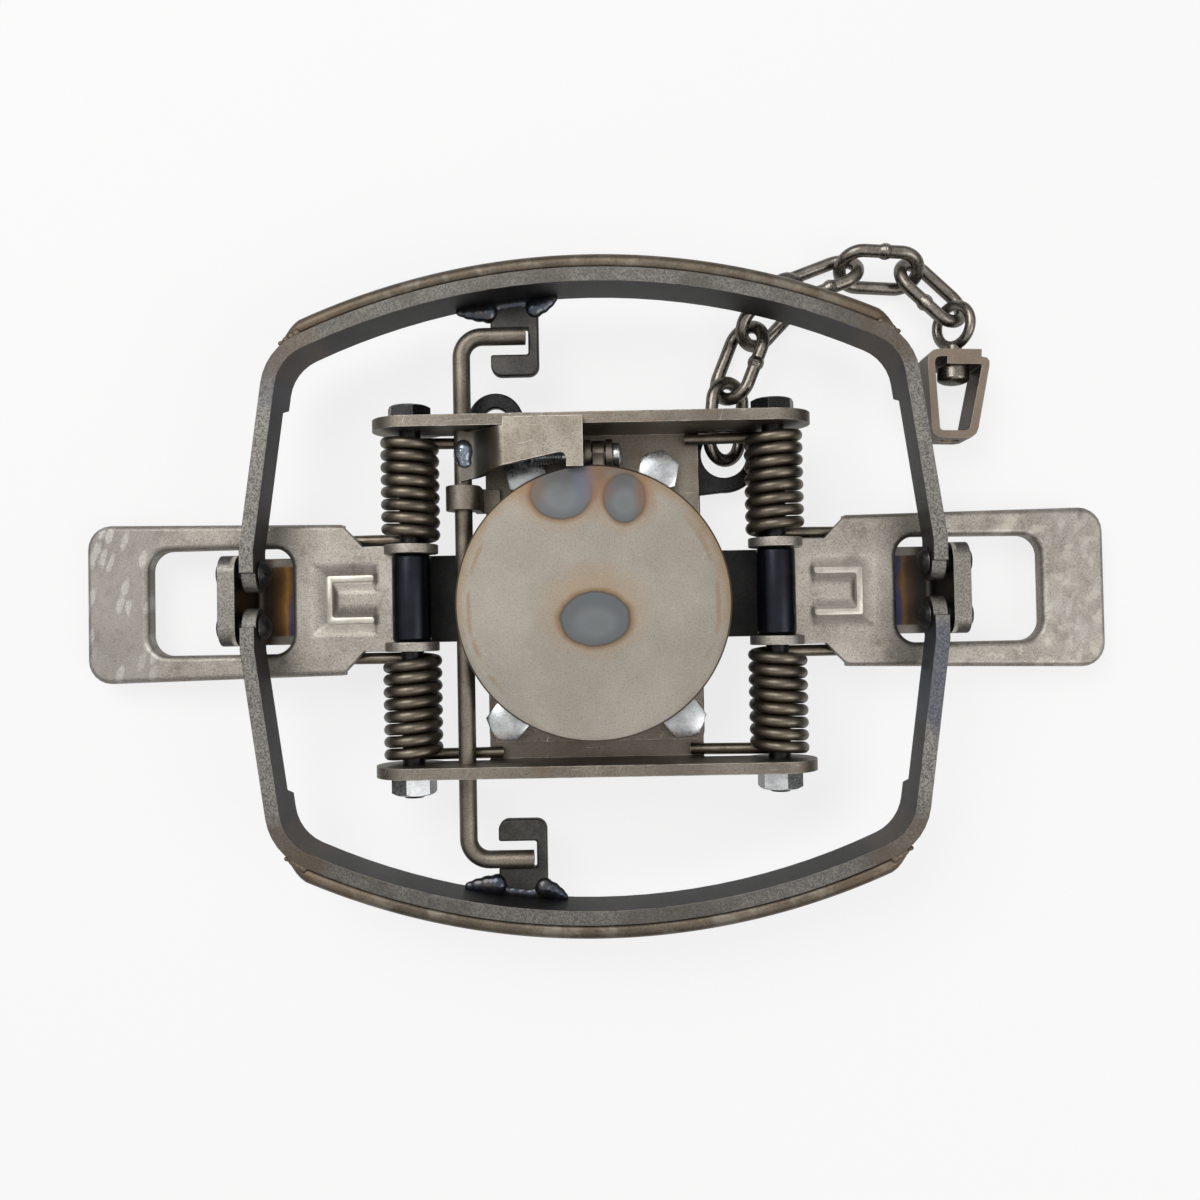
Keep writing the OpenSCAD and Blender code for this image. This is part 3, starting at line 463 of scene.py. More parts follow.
def scratched(f, turn, share, tone):
    """Adds fine straight scratches that run across a finish at an angle in degrees."""
    lines = f.noise(1.1, 2.0, 0.5, 0.0, f.stretched((0.09, 2.6, 1), turn))
    patches = f.ramp(f.noise(7, 2.0), 0.45, 0.6)
    f.colour = f.mix(f.ramp(lines, 0.67, 0.74) * patches * share, f.colour, paint(*tone))


f = steel("plate_steel", (130, 122, 111), (94, 87, 78), (184, 178, 168), (0.28, 0.48),
          metal=0.85, cloud=24, streak=(4, 30, 30))
stain = f.ramp(f.noise(10, 5.0, 0.65), 0.52, 0.7)
f.colour = f.mix(stain * 0.55, f.colour, paint(98, 84, 68))
scratched(f, 4, 0.5, (184, 179, 170))
scratched(f, 70, 0.5, (190, 185, 177))
done(f)

f = steel("catch_steel", (152, 145, 133), (116, 108, 97), (196, 191, 181), (0.26, 0.44),
          metal=0.85, cloud=9, streak=(4, 20, 20))
px = f.axes()[0]
scratched(f, 32, 0.6, (200, 195, 186))
scratched(f, 14, 0.5, (196, 191, 182))
bend_tint_and_highlight = f.ramp(px / MM + (f.noise(5, 2.0) - 0.5) * 2, -24.4, -26.4)
f.colour = f.mix(bend_tint_and_highlight * f.ramp(px / MM, -30.5, -27.5) * 0.6, f.colour, paint(98, 79, 61))
# Painted shade: the foot and the lower climb, left of about x = -27 mm, are painted dark grey.
f.colour = f.mix(f.ramp(px / MM, -26.8, -29.0) * 0.75, f.colour, paint(60, 58, 57))
done(f)

f = steel("zinc_plate", (196, 198, 198), (156, 158, 160), (228, 228, 226), (0.24, 0.38),
          metal=0.9, cloud=5, edge=0.3, depth=0.006, speckle=0.1)
f.colour = f.mix(f.ramp(f.noise(3, 4.0), 0.54, 0.7) * 0.4, f.colour, paint(136, 131, 122))
done(f)

done(steel("rod_steel", (134, 126, 114), (84, 77, 68), (176, 168, 154), (0.26, 0.44),
           metal=0.85, cloud=12, streak=(30, 3, 30), edge=0.4))

# %% [markdown]
# ## Levers, springs and pan
# The levers are thick pressed sheet, rubbed pale, with hammer dents at the outer end. The pan is a flat tan
# disc with blue-grey spots where a bracket was welded underneath: each spot has a brown ring, and straw
# colour spreads beyond.

# %% Lever, spring and pan finishes
bolt_x, bolt_z = 51.4, 21.0
lever_slope, lever_drop = 6, 2
tilt = math.radians(lever_slope)
land_end, land_half, land_w = 26.1, 6.9, 1.8
pan_shift = 2.5
f = steel("lever_steel", (168, 162, 152), (130, 123, 114), (198, 193, 184), (0.28, 0.48),
          metal=0.85, cloud=16, streak=(4, 26, 26), depth=0.06)
px, py, pz = f.axes()
grain = f.ramp(f.noise(0.6, 3.0, 0.75), 0.46, 0.66)
f.colour = f.mix(grain * 0.35, f.colour, paint(190, 186, 179))
grime = f.ramp(f.noise(7, 5.0, 0.7), 0.52, 0.7)
f.colour = f.mix(grime * 0.5, f.colour, paint(96, 86, 78))
out = px.size() / MM - bolt_x
run = out * math.cos(tilt) - (pz / MM - bolt_z) * math.sin(tilt)
beside = py.size() / MM - land_half + land_w / 2
beyond = run - land_end + land_w / 2
outside = (beside.at_least(0) ** 2 + beyond.at_least(0) ** 2) ** 0.5
from_land = outside - beside.at_least(beyond).at_most(0)
# Painted shade: the groove's slopes around the land are painted darker grey, standing in for the shade in the sunk
# groove.
groove_shade = f.ramp(from_land + (f.noise(3, 3.0) - 0.5) * 0.8, 4.4, 1.0) * f.ramp(run, 9.5, 11.5)
f.colour = f.mix(groove_shade * 0.55, f.colour, paint(104, 98, 92))
polish = f.ramp(f.noise(5, 4.0, 0.65), 0.5, 0.64) * f.ramp(px / MM, 100, 124)
f.colour = f.mix(polish * 0.38, f.colour, paint(206, 198, 184))
left_end = f.ramp(px / MM, -124, -131)
right_end = f.ramp(px / MM, 126, 136) * 0.45
end = (left_end + right_end).clamped()
struck = f.stretched((1.0, 0.42, 1.0), -17)
ragged = (f.noise(1.1, 3.0, 0.7) - 0.5) * 0.5
facet = f.ramp(f.cells(3.0, struck) + ragged, 0.5, 0.24)
kept = f.ramp(f.node("ShaderNodeSeparateColor", None, {0: f.cells(3.0, struck, 1)}), 0.42, 0.5)
dent = facet * kept * end
f.colour = f.mix(end * 0.45, f.colour, paint(132, 128, 124))
f.colour = f.mix(dent * (grain * 0.3 + 0.35), f.colour, paint(196, 193, 188))
f.relief = f.bump(1 - dent, 0.10, 0.6, f.relief)
done(f)

# The land's finish is the lever's steel painted paler, a painted highlight on the groove's flat floor; its edges
# take a darker colour, a painted shade.
done(steel("land_highlight_steel", (192, 186, 176), (160, 153, 143), (120, 114, 106), (0.26, 0.4),
           metal=0.85, cloud=5, streak=(4, 20, 20), edge=0.15, depth=0.03, speckle=0.2))

done(steel("spring_steel", (124, 115, 101), (74, 67, 58), (168, 159, 144), (0.22, 0.36),
           metal=0.9, cloud=8, streak=(30, 30, 30), edge=0.3, depth=0.03, speckle=0.25))

f = steel("pan_steel", (158, 152, 142), (137, 131, 121), (180, 172, 156), (0.32, 0.48),
          metal=0.75, cloud=26, streak=(8, 8, 8), depth=0.03, speckle=0.3)
px, py, _ = f.axes()
back = py + pan_shift * MM
rim = ((px * px + back * back) ** 0.5) / MM
fleck = f.ramp(f.noise(1.2, 3.0, 0.7), 0.6, 0.7)
f.colour = f.mix(fleck * 0.25, f.colour, paint(182, 175, 162))
specks = f.ramp(f.noise(0.8, 2.0, 0.6), 0.68, 0.74)
f.colour = f.mix(specks * 0.45, f.colour, paint(112, 104, 92))
straw = f.ramp(rim + (f.noise(9, 4.0) - 0.5) * 5, 34.5, 37.5) * f.ramp(py / MM + px.size() / MM * 0.5, 2, 16)
f.colour = f.mix(straw * 0.6, f.colour, paint(134, 108, 72))
from_ring = (rim + (f.noise(12, 2.0) - 0.5) * 3 - 34.3).size()
ring = f.ramp(from_ring, 1.0, 0.2) * f.ramp(px.size() / MM, 22, 30)
f.colour = f.mix(ring * f.ramp(f.noise(8, 3.0), 0.4, 0.6) * 0.5, f.colour, paint(128, 100, 62))
low_rim = f.ramp(rim + (f.noise(7, 4.0) - 0.5) * 4, 36, 38)
f.colour = f.mix(low_rim * 0.4, f.colour, paint(112, 100, 84))
# Each ring of a weld spot: shift along Y, widths against the spot's own, softness, wobble, share and colour.
heat_rings = ((2.5, 1.35, 1.5, 0.9, 0.2, 0.4, (150, 120, 82)), (0, 1.1, 1.1, 0.2, 0.08, 0.75, (114, 86, 56)),
              (0, 1, 1, 0.09, 0.07, 0.9, (68, 63, 58)), (0, 0.95, 0.95, 0.12, 0.07, 0.95, (92, 95, 97)),
              (-1, 0.6, 0.55, 0.8, 0.2, 0.5, (116, 119, 119)),
              (-1.4, 0.34, 0.28, 0.7, 0.2, 0.4, (98, 102, 103)))
for x, y, rx, ry in ((0.4, -6.9, 9.8, 7.6), (-8.4, 27.8, 8.6, 7.4), (9.0, 26.0, 5.8, 6.8)):
    for rise, wide, deep, soft, wobble, share, tone in heat_rings:
        ring = f.spot(x, y + rise, rx * wide, ry * deep, soft, wobble)
        f.colour = f.mix(ring * share, f.colour, paint(*tone))
smoke = f.spot(-3, 35.5, 19, 6, 1.1, 0.35)
f.colour = f.mix(smoke * 0.75, f.colour, paint(78, 74, 72))
f.colour = f.mix(f.spot(1.2, 31, 3.6, 7, 1.6, 0.4) * 0.65, f.colour, paint(116, 84, 62))
for x, y, rx, ry, tone in ((-2.4, 30.5, 2.4, 6, (92, 102, 120)), (14.5, 28, 2.6, 6, (120, 86, 60)),
                           (-16.5, 29, 3.0, 5, (112, 86, 64))):
    f.colour = f.mix(f.spot(x, y, rx, ry, 1.7, 0.4) * 0.55, f.colour, paint(*tone))
done(f)

# %% [markdown]
# ## Chain
# The chain is bright welded wire gone dull, and its end box is a strap that was bent hot, so it is brown.

# %% Chain finishes
done(steel("chain_steel", (138, 132, 123), (92, 86, 79), (190, 185, 176), (0.2, 0.34),
           metal=0.92, cloud=6, edge=0.3, depth=0.02, speckle=0.15))

f = steel("box_steel", (112, 98, 84), (66, 54, 46), (176, 164, 148), (0.3, 0.48),
          cloud=9)
f.colour = f.mix(f.ramp(f.noise(5, 4.0), 0.5, 0.7) * (1 - f.wear) * 0.5, f.colour, paint(84, 60, 52))
up = f.upward()
# The strap's top and the rounded band of its upper edges are painted paler: partly rubbed metal, partly a painted
# highlight.
f.colour = f.mix(f.ramp(up, 0.85, 0.97) * 0.5, f.colour, paint(148, 134, 120))
f.colour = f.mix(f.ramp(up, 0.2, 0.4) * f.ramp(up, 0.95, 0.8) * 0.8, f.colour, paint(196, 184, 168))
done(f)

slot_of_node = {part["node"]: part["material_slot"] for part in frame["record"]["subparts"]}
own_finish = {"frame_strip": "strip_steel", "trigger_plate": "catch_steel", "trigger_weld": "bead_metal",
              "rear_tab": "tab_steel", "front_tab": "tab_steel", "spacer_tube_left": "tube_steel",
              "spacer_tube_right": "tube_steel", "pan_arm": "plate_steel", "pan_bracket": "plate_steel"}


def finish_of(node):
    """The name of a node's finish: its own, or its slot's."""
    return own_finish.get(node, slot_of_node[node])


for name, node in frame["nodes"].items():
    node.data.materials.clear()
    node.data.materials.append(finishes[finish_of(name)])
print("painted", len(frame["nodes"]), "nodes")

# %% [markdown]
# ## Rounded edges
# CAD edges are perfectly sharp, and no pressed, sheared or forged edge is. A copy of each sheet or bar node
# has its loose triangles merged, its flat faces joined again and its sharp edges rolled over with a bevel.
# The copy then stands for the node, which is hidden.

# %% Rounded copies
sharp = math.radians(32)


def new_piece(bm, name, body, slot, stands_for=(), finish=None):
    """Makes a finished object of a bmesh, rides it on a body and gives it a slot and a finish."""
    mesh = bpy.data.meshes.new(name)
    for face in bm.faces:
        face.smooth = True
    bm.to_mesh(mesh)
    bm.free()
    mesh.set_sharp_from_angle(angle=sharp)
    mesh.materials.append(finishes[finish or slot])
    piece = bpy.data.objects.new(name, mesh)
    bpy.context.scene.collection.objects.link(piece)
    if body:
        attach(piece, body)
    if stands_for:
        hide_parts(*stands_for)
    return piece


def roll_over(bm, edges, width, segments=3, clamp=True):
    bmesh.ops.bevel(bm, geom=edges, offset=width * MM, offset_type="OFFSET", affect="EDGES",
                    segments=segments, profile=0.5, material=-1, clamp_overlap=clamp)


def edges_over(bm, angle):
    return [e for e in bm.edges if len(e.link_faces) == 2 and e.calc_face_angle() > angle]


def join_flats(bm):
    bmesh.ops.remove_doubles(bm, verts=bm.verts, dist=0.002 * MM)
    bmesh.ops.dissolve_limit(bm, angle_limit=math.radians(0.6), verts=bm.verts, edges=bm.edges)


def merged_copy(node):
    bm = bmesh.new()
    bm.from_mesh(frame["nodes"][node].data)
    join_flats(bm)
    return bm


def stand_in(bm, node):
    piece = new_piece(bm, node + "_rounded", body_of_node[node], slot_of_node[node], (node,), finish_of(node))
    piece.modifiers.new("even_normals", "WEIGHTED_NORMAL").keep_sharp = True
    return piece


def rounded_copy(node, width):
    bm = merged_copy(node)
    roll_over(bm, edges_over(bm, sharp), width)
    return stand_in(bm, node)


edge_widths = {"frame_strip": 0.6, "cross_plate": 0.5, "lower_plate": 0.5, "clamp_bar": 0.3, "rod_loop": 0.4,
               "pan_bracket": 0.3, "rear_jaw": 0.6, "front_jaw": 0.6, "rear_tab": 0.6, "front_tab": 0.6,
               "pan_arm": 0.4, "swivel_plate_left": 0.5, "swivel_plate_right": 0.5, "swivel_box": 0.5}
for name, width in edge_widths.items():
    rounded_copy(name, width)
print("rounded", len(edge_widths), "nodes")

# %% [markdown]
# ## Catch plate
# The trigger's plate leaves the rod flat, climbs in two soft bends and ends in a hook with a rounded
# throat. It is drawn flat, cut across where it bends and lowered towards the rod square to its top, so the
# sheet keeps one thickness. Its climb is longer than the solid's, which leaves room for a spring when the
# jaws are closed.

# %% Catch plate
catch_top, catch_foot, catch_t = 33.9, 24.55, 2.0
climb_from, climb_to, climb_cuts = -33.5, -23.5, 16
catch_throat, throat_round, catch_round = (-6.7, 39.0), 2.2, 0.35
catch_outline = [(-36.7, 32.2), (-27.6, 34.6), catch_throat, (-6.7, 34.7), (-2.1, 34.7), (-2.1, 48.6),
                 (-23.9, 48.6), (-23.9, 46.2), (-36.7, 46.2)]


def points_in(made):
    return [g for g in made if isinstance(g, bmesh.types.BMVert)]


def edges_in(made):
    return [g for g in made if isinstance(g, bmesh.types.BMEdge)]


def slab(bm, outline, level, thick):
    """A flat outline at one level, extruded up or down."""
    face = bm.faces.new([bm.verts.new(mm(x, y, level)) for x, y in outline])
    made = bmesh.ops.extrude_face_region(bm, geom=[face])["geom"]
    bmesh.ops.translate(bm, verts=points_in(made), vec=mm(0, 0, thick))


def cut_across(bm, at, square):
    bmesh.ops.bisect_plane(bm, geom=bm.verts[:] + bm.edges[:] + bm.faces[:], dist=0.001 * MM, plane_co=at,
                           plane_no=square)


def climb(x):
    """Height and slope of the plate's top at a place along it, in millimetres."""
    run, rise = climb_to - climb_from, catch_top - catch_foot
    share = min(max((x - climb_from) / run, 0), 1)
    return catch_foot + rise * share * share * (3 - 2 * share), 6 * rise / run * share * (1 - share)


def at_throat(edge):
    return all((v.co.xy - mm(*catch_throat, 0).xy).length < 0.01 * MM for v in edge.verts)


def catch_plate():
    bm = bmesh.new()
    slab(bm, catch_outline, 0, -catch_t)
    bmesh.ops.recalc_face_normals(bm, faces=bm.faces)
    roll_over(bm, [e for e in bm.edges if at_throat(e)], throat_round, 8, clamp=False)
    for cut in range(climb_cuts + 1):
        x = climb_from + (climb_to - climb_from) * cut / climb_cuts
        cut_across(bm, mm(x, 0, 0), (1, 0, 0))
    for v in bm.verts:
        top, slope = climb(v.co.x / MM)
        square = Vector((-slope, 0, 1)).normalized()
        v.co = mm(v.co.x / MM, v.co.y / MM, top) + square * v.co.z
    roll_over(bm, edges_over(bm, sharp), catch_round)
    return stand_in(bm, "trigger_plate")


print("catch plate", len(catch_plate().data.polygons), "faces")

# %% [markdown]
# ## Levers
# A lever is pressed from thick sheet, so its outer edge and the edge of its window roll over widely. The
# U-shaped groove closes before the bolt: two cuts are made across it, and the floor nearer to the bolt is
# raised to the top.

# %% Levers
land_round, land_low, land_t, land_edge = 0.8, -3.4, 0.55, 0.1
roll_from, top_roll, groove_roll, lower_roll = 17, 1.8, 0.75, 0.4
groove_end, groove_full = 10.4, 12.0
groove_run, groove_low, groove_half = (8, 32), -3.4, 10.6
raised_low, raised_half = -3.3, 10.3


def lever_spot(point):
    """Run out from the spring bolt and height above it, along and square to the lever, in millimetres."""
    out = abs(point.x) / MM - bolt_x
    up = point.z / MM - bolt_z
    return out * math.cos(tilt) - up * math.sin(tilt), out * math.sin(tilt) + up * math.cos(tilt)


def on_top(edge):
    spots = [lever_spot(v.co) for v in edge.verts]
    return all(run > roll_from and abs(rise + lever_drop) < 0.05 for run, rise in spots)


def in_groove(edge):
    spots = [(*lever_spot(v.co), abs(v.co.y) / MM) for v in edge.verts]
    low, high = groove_run
    return all(low < run < high and rise > groove_low and wide < groove_half for run, rise, wide in spots)


def pressed_lever(node, side):
    bm = merged_copy(node)
    outward = Vector((side * math.cos(tilt), 0, -math.sin(tilt)))
    upward = Vector((side * math.sin(tilt), 0, math.cos(tilt)))
    for run in (groove_end, groove_full):
        cut_across(bm, mm(side * bolt_x, 0, bolt_z) + outward * run * MM, outward)
    for v in bm.verts:
        run, rise = lever_spot(v.co)
        below = raised_low < rise < -lever_drop
        if below and run < groove_end + 0.01 and abs(v.co.y) < raised_half * MM:
            v.co += upward * (-lever_drop - rise) * MM
    join_flats(bm)
    roll_over(bm, [e for e in edges_over(bm, math.radians(60)) if on_top(e)], top_roll, 6, clamp=False)
    roll_over(bm, [e for e in edges_over(bm, math.radians(6)) if in_groove(e)], groove_roll, 4, clamp=False)
    roll_over(bm, edges_over(bm, sharp), lower_roll, 2)
    return stand_in(bm, node)


def groove_land(node, side):
    """The flat strip that the press left along the groove's floor, a little proud and crisp at its edges, in a
    finish painted paler as a painted highlight.
    """
    inner = land_half - land_w
    near = land_end - land_w
    outline = [(groove_full, land_half), (land_end, land_half), (land_end, -land_half),
               (groove_full, -land_half), (groove_full, -inner), (near, -inner), (near, inner),
               (groove_full, inner)]
    bm = bmesh.new()
    slab(bm, outline, land_low, land_t)
    corners = [e for e in bm.edges if abs(e.verts[0].co.z - e.verts[1].co.z) > 0.1 * MM]
    roll_over(bm, corners, land_round, 4, clamp=False)
    roll_over(bm, edges_over(bm, sharp), land_edge, 2)
    mirrored = Matrix.Scale(side, 4, (1, 0, 0)) @ Matrix.Rotation(tilt, 4, "Y")
    place = Matrix.Translation(mm(side * bolt_x, 0, bolt_z)) @ mirrored
    bmesh.ops.transform(bm, matrix=place, verts=bm.verts)
    bmesh.ops.recalc_face_normals(bm, faces=bm.faces)
    return new_piece(bm, node + "_land", body_of_node[node], slot_of_node[node], finish="land_highlight_steel")


for name, side in (("left_lever", -1), ("right_lever", 1)):
    lever = pressed_lever(name, side)
    groove_land(name, side)
    print(lever.name, len(lever.data.polygons), "faces")

# %% [markdown]
# ## Springs
# Four torsion springs are wound on two bolts. Each is one round wire: a ring of points is spun about the
# bolt while it steps along it, and both ends run out straight, one under the lever and one over the web.
# When the lever rises, the coil winds up.

# %% Springs
wire_r, coil_r = 1.64, 6.65
coil_in, coil_out = 17.03, 44.77
turns, turn_steps = 8, 28
leg_run = 33
start_angle = 270 - lever_slope
web_end = Vector((-24.4, -8.37))
swing_end = math.degrees(math.atan2(web_end.y, web_end.x)) + 360
end_angle = swing_end + math.degrees(math.acos(coil_r / web_end.length)) - 360 * turns
sweep = start_angle - end_angle


def next_ring(bm, loop):
    """Extrudes a closed loop of edges, and returns the new points and the new loop."""
    made = bmesh.ops.extrude_edge_only(bm, edges=loop)["geom"]
    points = points_in(made)
    return points, [e for e in edges_in(made) if all(v in points for v in e.verts)]


def spring_wire(side, way):
    """side is -1 left or 1 right, way is 1 rear or -1 front. It is wound at the right rear and mirrored."""
    bm = bmesh.new()
    ring = bmesh.ops.create_circle(bm, segments=14, radius=wire_r * MM)["verts"]
    a = math.radians(start_angle)
    radial = Vector((math.cos(a), 0, math.sin(a)))
    along = Vector((math.cos(tilt), 0, -math.sin(tilt)))
    turn = Matrix((radial, Vector((0, 1, 0)), along)).transposed()
    bmesh.ops.rotate(bm, verts=ring, cent=(0, 0, 0), matrix=turn)
    bmesh.ops.translate(bm, verts=ring, vec=radial * coil_r * MM + Vector((0, coil_in * MM, 0)))
    first = bm.edges[:]
    steps = round(sweep / 360 * turn_steps)
    step = Vector((0, (coil_out - coil_in) / steps * MM, 0))
    wound = bmesh.ops.spin(bm, geom=first, cent=(0, 0, 0), axis=(0, 1, 0), dvec=step,
                           angle=math.radians(sweep), steps=steps)["geom_last"]
    for loop, run, count in ((first, along * leg_run * MM, 2), (edges_in(wound), None, 1)):
        middle = sum((v.co for e in loop for v in e.verts), Vector()) / (2 * len(loop))
        if run is None:
            run = Vector((web_end.x, 0, web_end.y)) * MM - Vector((middle.x, 0, middle.z))
        for _ in range(count):
            tip, loop = next_ring(bm, loop)
            bmesh.ops.translate(bm, verts=tip, vec=run / count)
        bmesh.ops.edgeloop_fill(bm, edges=loop)
    bmesh.ops.scale(bm, verts=bm.verts, vec=(side, way, 1))
    bmesh.ops.translate(bm, verts=bm.verts, vec=mm(side * bolt_x, 0, bolt_z))
    bmesh.ops.recalc_face_normals(bm, faces=bm.faces)
    word = ("rear" if way > 0 else "front") + ("_left" if side < 0 else "_right")
    piece = new_piece(bm, "coil_" + word, None, "spring_steel", ("spring_" + word,))
    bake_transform(piece)
    return piece


for side in (-1, 1):
    for way in (1, -1):
        coil = spring_wire(side, way)
        print(coil.name, len(coil.data.polygons), "faces,", round(sweep / 360, 2), "turns")

# %% [markdown]
# ## Bolts and nuts
# A bolt head is a hexagon whose corners were turned off in a lathe, which leaves a round face and curved
# lower edges. A round cap is extruded outward to the hexagon and down, and each corner drops by the slope
# of the turning. Shanks and threads are short profiles spun about the bolt.

# %% Turned shapes
flats = 11.1
bolt_r = 3.175


def apart(bm, build):
    """Runs a function that adds to a bmesh, and returns only the points it made."""
    before = set(bm.verts)
    build()
    return [v for v in bm.verts if v not in before]


def lathe(bm, profile, place, steps=40):
    """Spins a profile of (height, radius) points about the Z axis of a place."""
    def build():
        dots = [bm.verts.new((radius * MM, 0, height * MM)) for height, radius in profile]
        line = [bm.edges.new(pair) for pair in zip(dots, dots[1:])]
        bmesh.ops.spin(bm, geom=dots + line, cent=(0, 0, 0), axis=(0, 0, 1), dvec=(0, 0, 0),
                       angle=math.tau, steps=steps, use_merge=True)
    made = apart(bm, build)
    bmesh.ops.transform(bm, matrix=place, verts=made)
    return made


def hex_head(bm, height, place):
    """A chamfered hexagon that stands on a place, its round face up."""
    flat_r = flats / 2
    face_r = 0.93 * flat_r
    turning = math.tan(math.radians(28))

    def hex_radius(v):
        off = math.remainder(math.atan2(v.co.y, v.co.x) - math.radians(30), math.radians(60))
        return flat_r / math.cos(off)

    def build():
        cap = bmesh.ops.create_circle(bm, cap_ends=True, segments=48, radius=face_r * MM)["verts"]
        bmesh.ops.translate(bm, verts=cap, vec=mm(0, 0, height))
        loop = list({e for v in cap for e in v.link_edges})
        for level in ("corner", "seat"):
            ring, loop = next_ring(bm, loop)
            for v in ring:
                radius = hex_radius(v)
                rise = height - (radius - face_r) * turning if level == "corner" else 0
                flat = Vector((v.co.x, v.co.y, 0)).normalized() * radius * MM
                v.co = flat + mm(0, 0, rise)
        bmesh.ops.edgeloop_fill(bm, edges=loop)
    made = apart(bm, build)
    bmesh.ops.transform(bm, matrix=place, verts=made)
    return made


def spot_at(x, y, z, turn=0.0, tip=0.0):
    """A place that is turned about its own axis and then tipped over, in degrees."""
    turned = Matrix.Rotation(math.radians(tip), 4, "X") @ Matrix.Rotation(math.radians(turn), 4, "Z")
    return Matrix.Translation(mm(x, y, z)) @ turned


def closed(bm):
    bmesh.ops.remove_doubles(bm, verts=bm.verts, dist=0.001 * MM)
    bmesh.ops.recalc_face_normals(bm, faces=bm.faces)
    return bm


# %% Bolts and nuts
web_top, clamp_t, head_h = 10.8, 1.6, 4.2
rail_out, nut_h, thread_end = 50.0, 5.2, 0.8
chamfer = 0.5


def shank(low, high):
    return [(low, 0), (low, bolt_r - chamfer), (low + chamfer, bolt_r), (high, bolt_r), (high, 0)]


bm = bmesh.new()
for side in (-1, 1):
    for x, y, seat, twist in ((19.1, 35.5, web_top, 17), (25.2, -35.5, web_top + clamp_t, 8)):
        hex_head(bm, head_h, spot_at(side * x, y, seat, side * twist))
        lathe(bm, shank(0.1, seat), spot_at(side * x, y, 0))
new_piece(closed(bm), "plate_bolts", "base", "zinc_plate", ("base_bolts",))

for side, word in ((-1, "left"), (1, "right")):
    bm = bmesh.new()
    hex_head(bm, head_h, spot_at(side * bolt_x, rail_out, bolt_z, 12 * side, -90))
    lathe(bm, shank(-rail_out - nut_h - thread_end, rail_out), spot_at(side * bolt_x, 0, bolt_z, 0, -90))
    new_piece(closed(bm), "long_bolt_" + word, "base", "black_steel", ("spring_bolt_" + word,))

bm = bmesh.new()
for side in (-1, 1):
    hex_head(bm, nut_h, spot_at(side * bolt_x, -rail_out, bolt_z, 20 * side, 90))
new_piece(closed(bm), "end_nuts", "base", "zinc_plate", ("spring_nuts",))

hinge_r, pitch, thread_depth = 2.4, 0.8, 0.42
tail, bare, cap_at = -17.0, -8.2, 6.0
hinge_y, hinge_z = 39.6, 19
crests = round((bare - tail) / pitch)
profile = [(tail, 0), (tail, hinge_r - chamfer)]
for k in range(crests):
    profile += [(tail + (k + 0.5) * pitch, hinge_r), (tail + (k + 1) * pitch, hinge_r - thread_depth)]
cap = ((0, 3.4), (0.4, 3.6), (1.9, 3.5), (2.5, 2.6), (2.6, 0))
profile += [(bare, hinge_r), (cap_at, hinge_r)] + [(cap_at + rise, radius) for rise, radius in cap]
bm = bmesh.new()
along_x = Matrix.Translation(mm(0, hinge_y, hinge_z)) @ Matrix.Rotation(math.radians(90), 4, "Y")
lathe(bm, profile, along_x, 32)
new_piece(closed(bm), "threaded_hinge", "base", "zinc_plate", ("pan_hinge_bolt",))
print("bolts made, hinge thread of", crests, "turns")

end_round, bore = 1.1, bolt_r + 0.2
for word in ("left", "right"):
    name = "spacer_tube_" + word
    low, high = (Vector(corner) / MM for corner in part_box(name))
    tube_r, half = (high.z - low.z) / 2, (high.y - low.y) / 2
    steps = [math.radians(a) for a in range(0, 91, 15)]
    arc = [(half - end_round * (1 - math.sin(a)), tube_r - end_round * (1 - math.cos(a))) for a in steps]
    profile = [(-half, bore)] + [(-h, r) for h, r in reversed(arc)] + arc + [(half, bore), (-half, bore)]
    bm = bmesh.new()
    lathe(bm, profile, spot_at(*((low + high) / 2), 0, 90), 48)
    new_piece(closed(bm), "turned_" + name, "base", slot_of_node[name], (name,), finish_of(name))

# %% [markdown]
# ## Outer rods and welds
# Each bow carries a round rod on its outside, whose ends are drawn down to the bar and tacked. A ring is
# spun along the bow and its ends are extruded smaller and smaller. Weld metal is a row of overlapping
# balls, as molten drops are, joined by a fine voxel remesh and smoothed.

# %% Outer rods
bow_r, jaw_t, jaw_rod_r, spread = 198.0, 4.0, 2.35, 190.5
bow_y = spread / 2 - 2 * jaw_rod_r - bow_r
rod_sunk, rod_reach, rod_z = 0.5, 79, 26.75
rod_r = bow_r + jaw_rod_r - rod_sunk
rod_half = math.asin(rod_reach / bow_r)
draw_turn, draw_in, draw_size, draw_less = 0.0085, 0.12, 0.93, 0.06


def on_bow(angle, radius):
    return Vector((radius * math.sin(angle), bow_y + radius * math.cos(angle), 0)) * MM


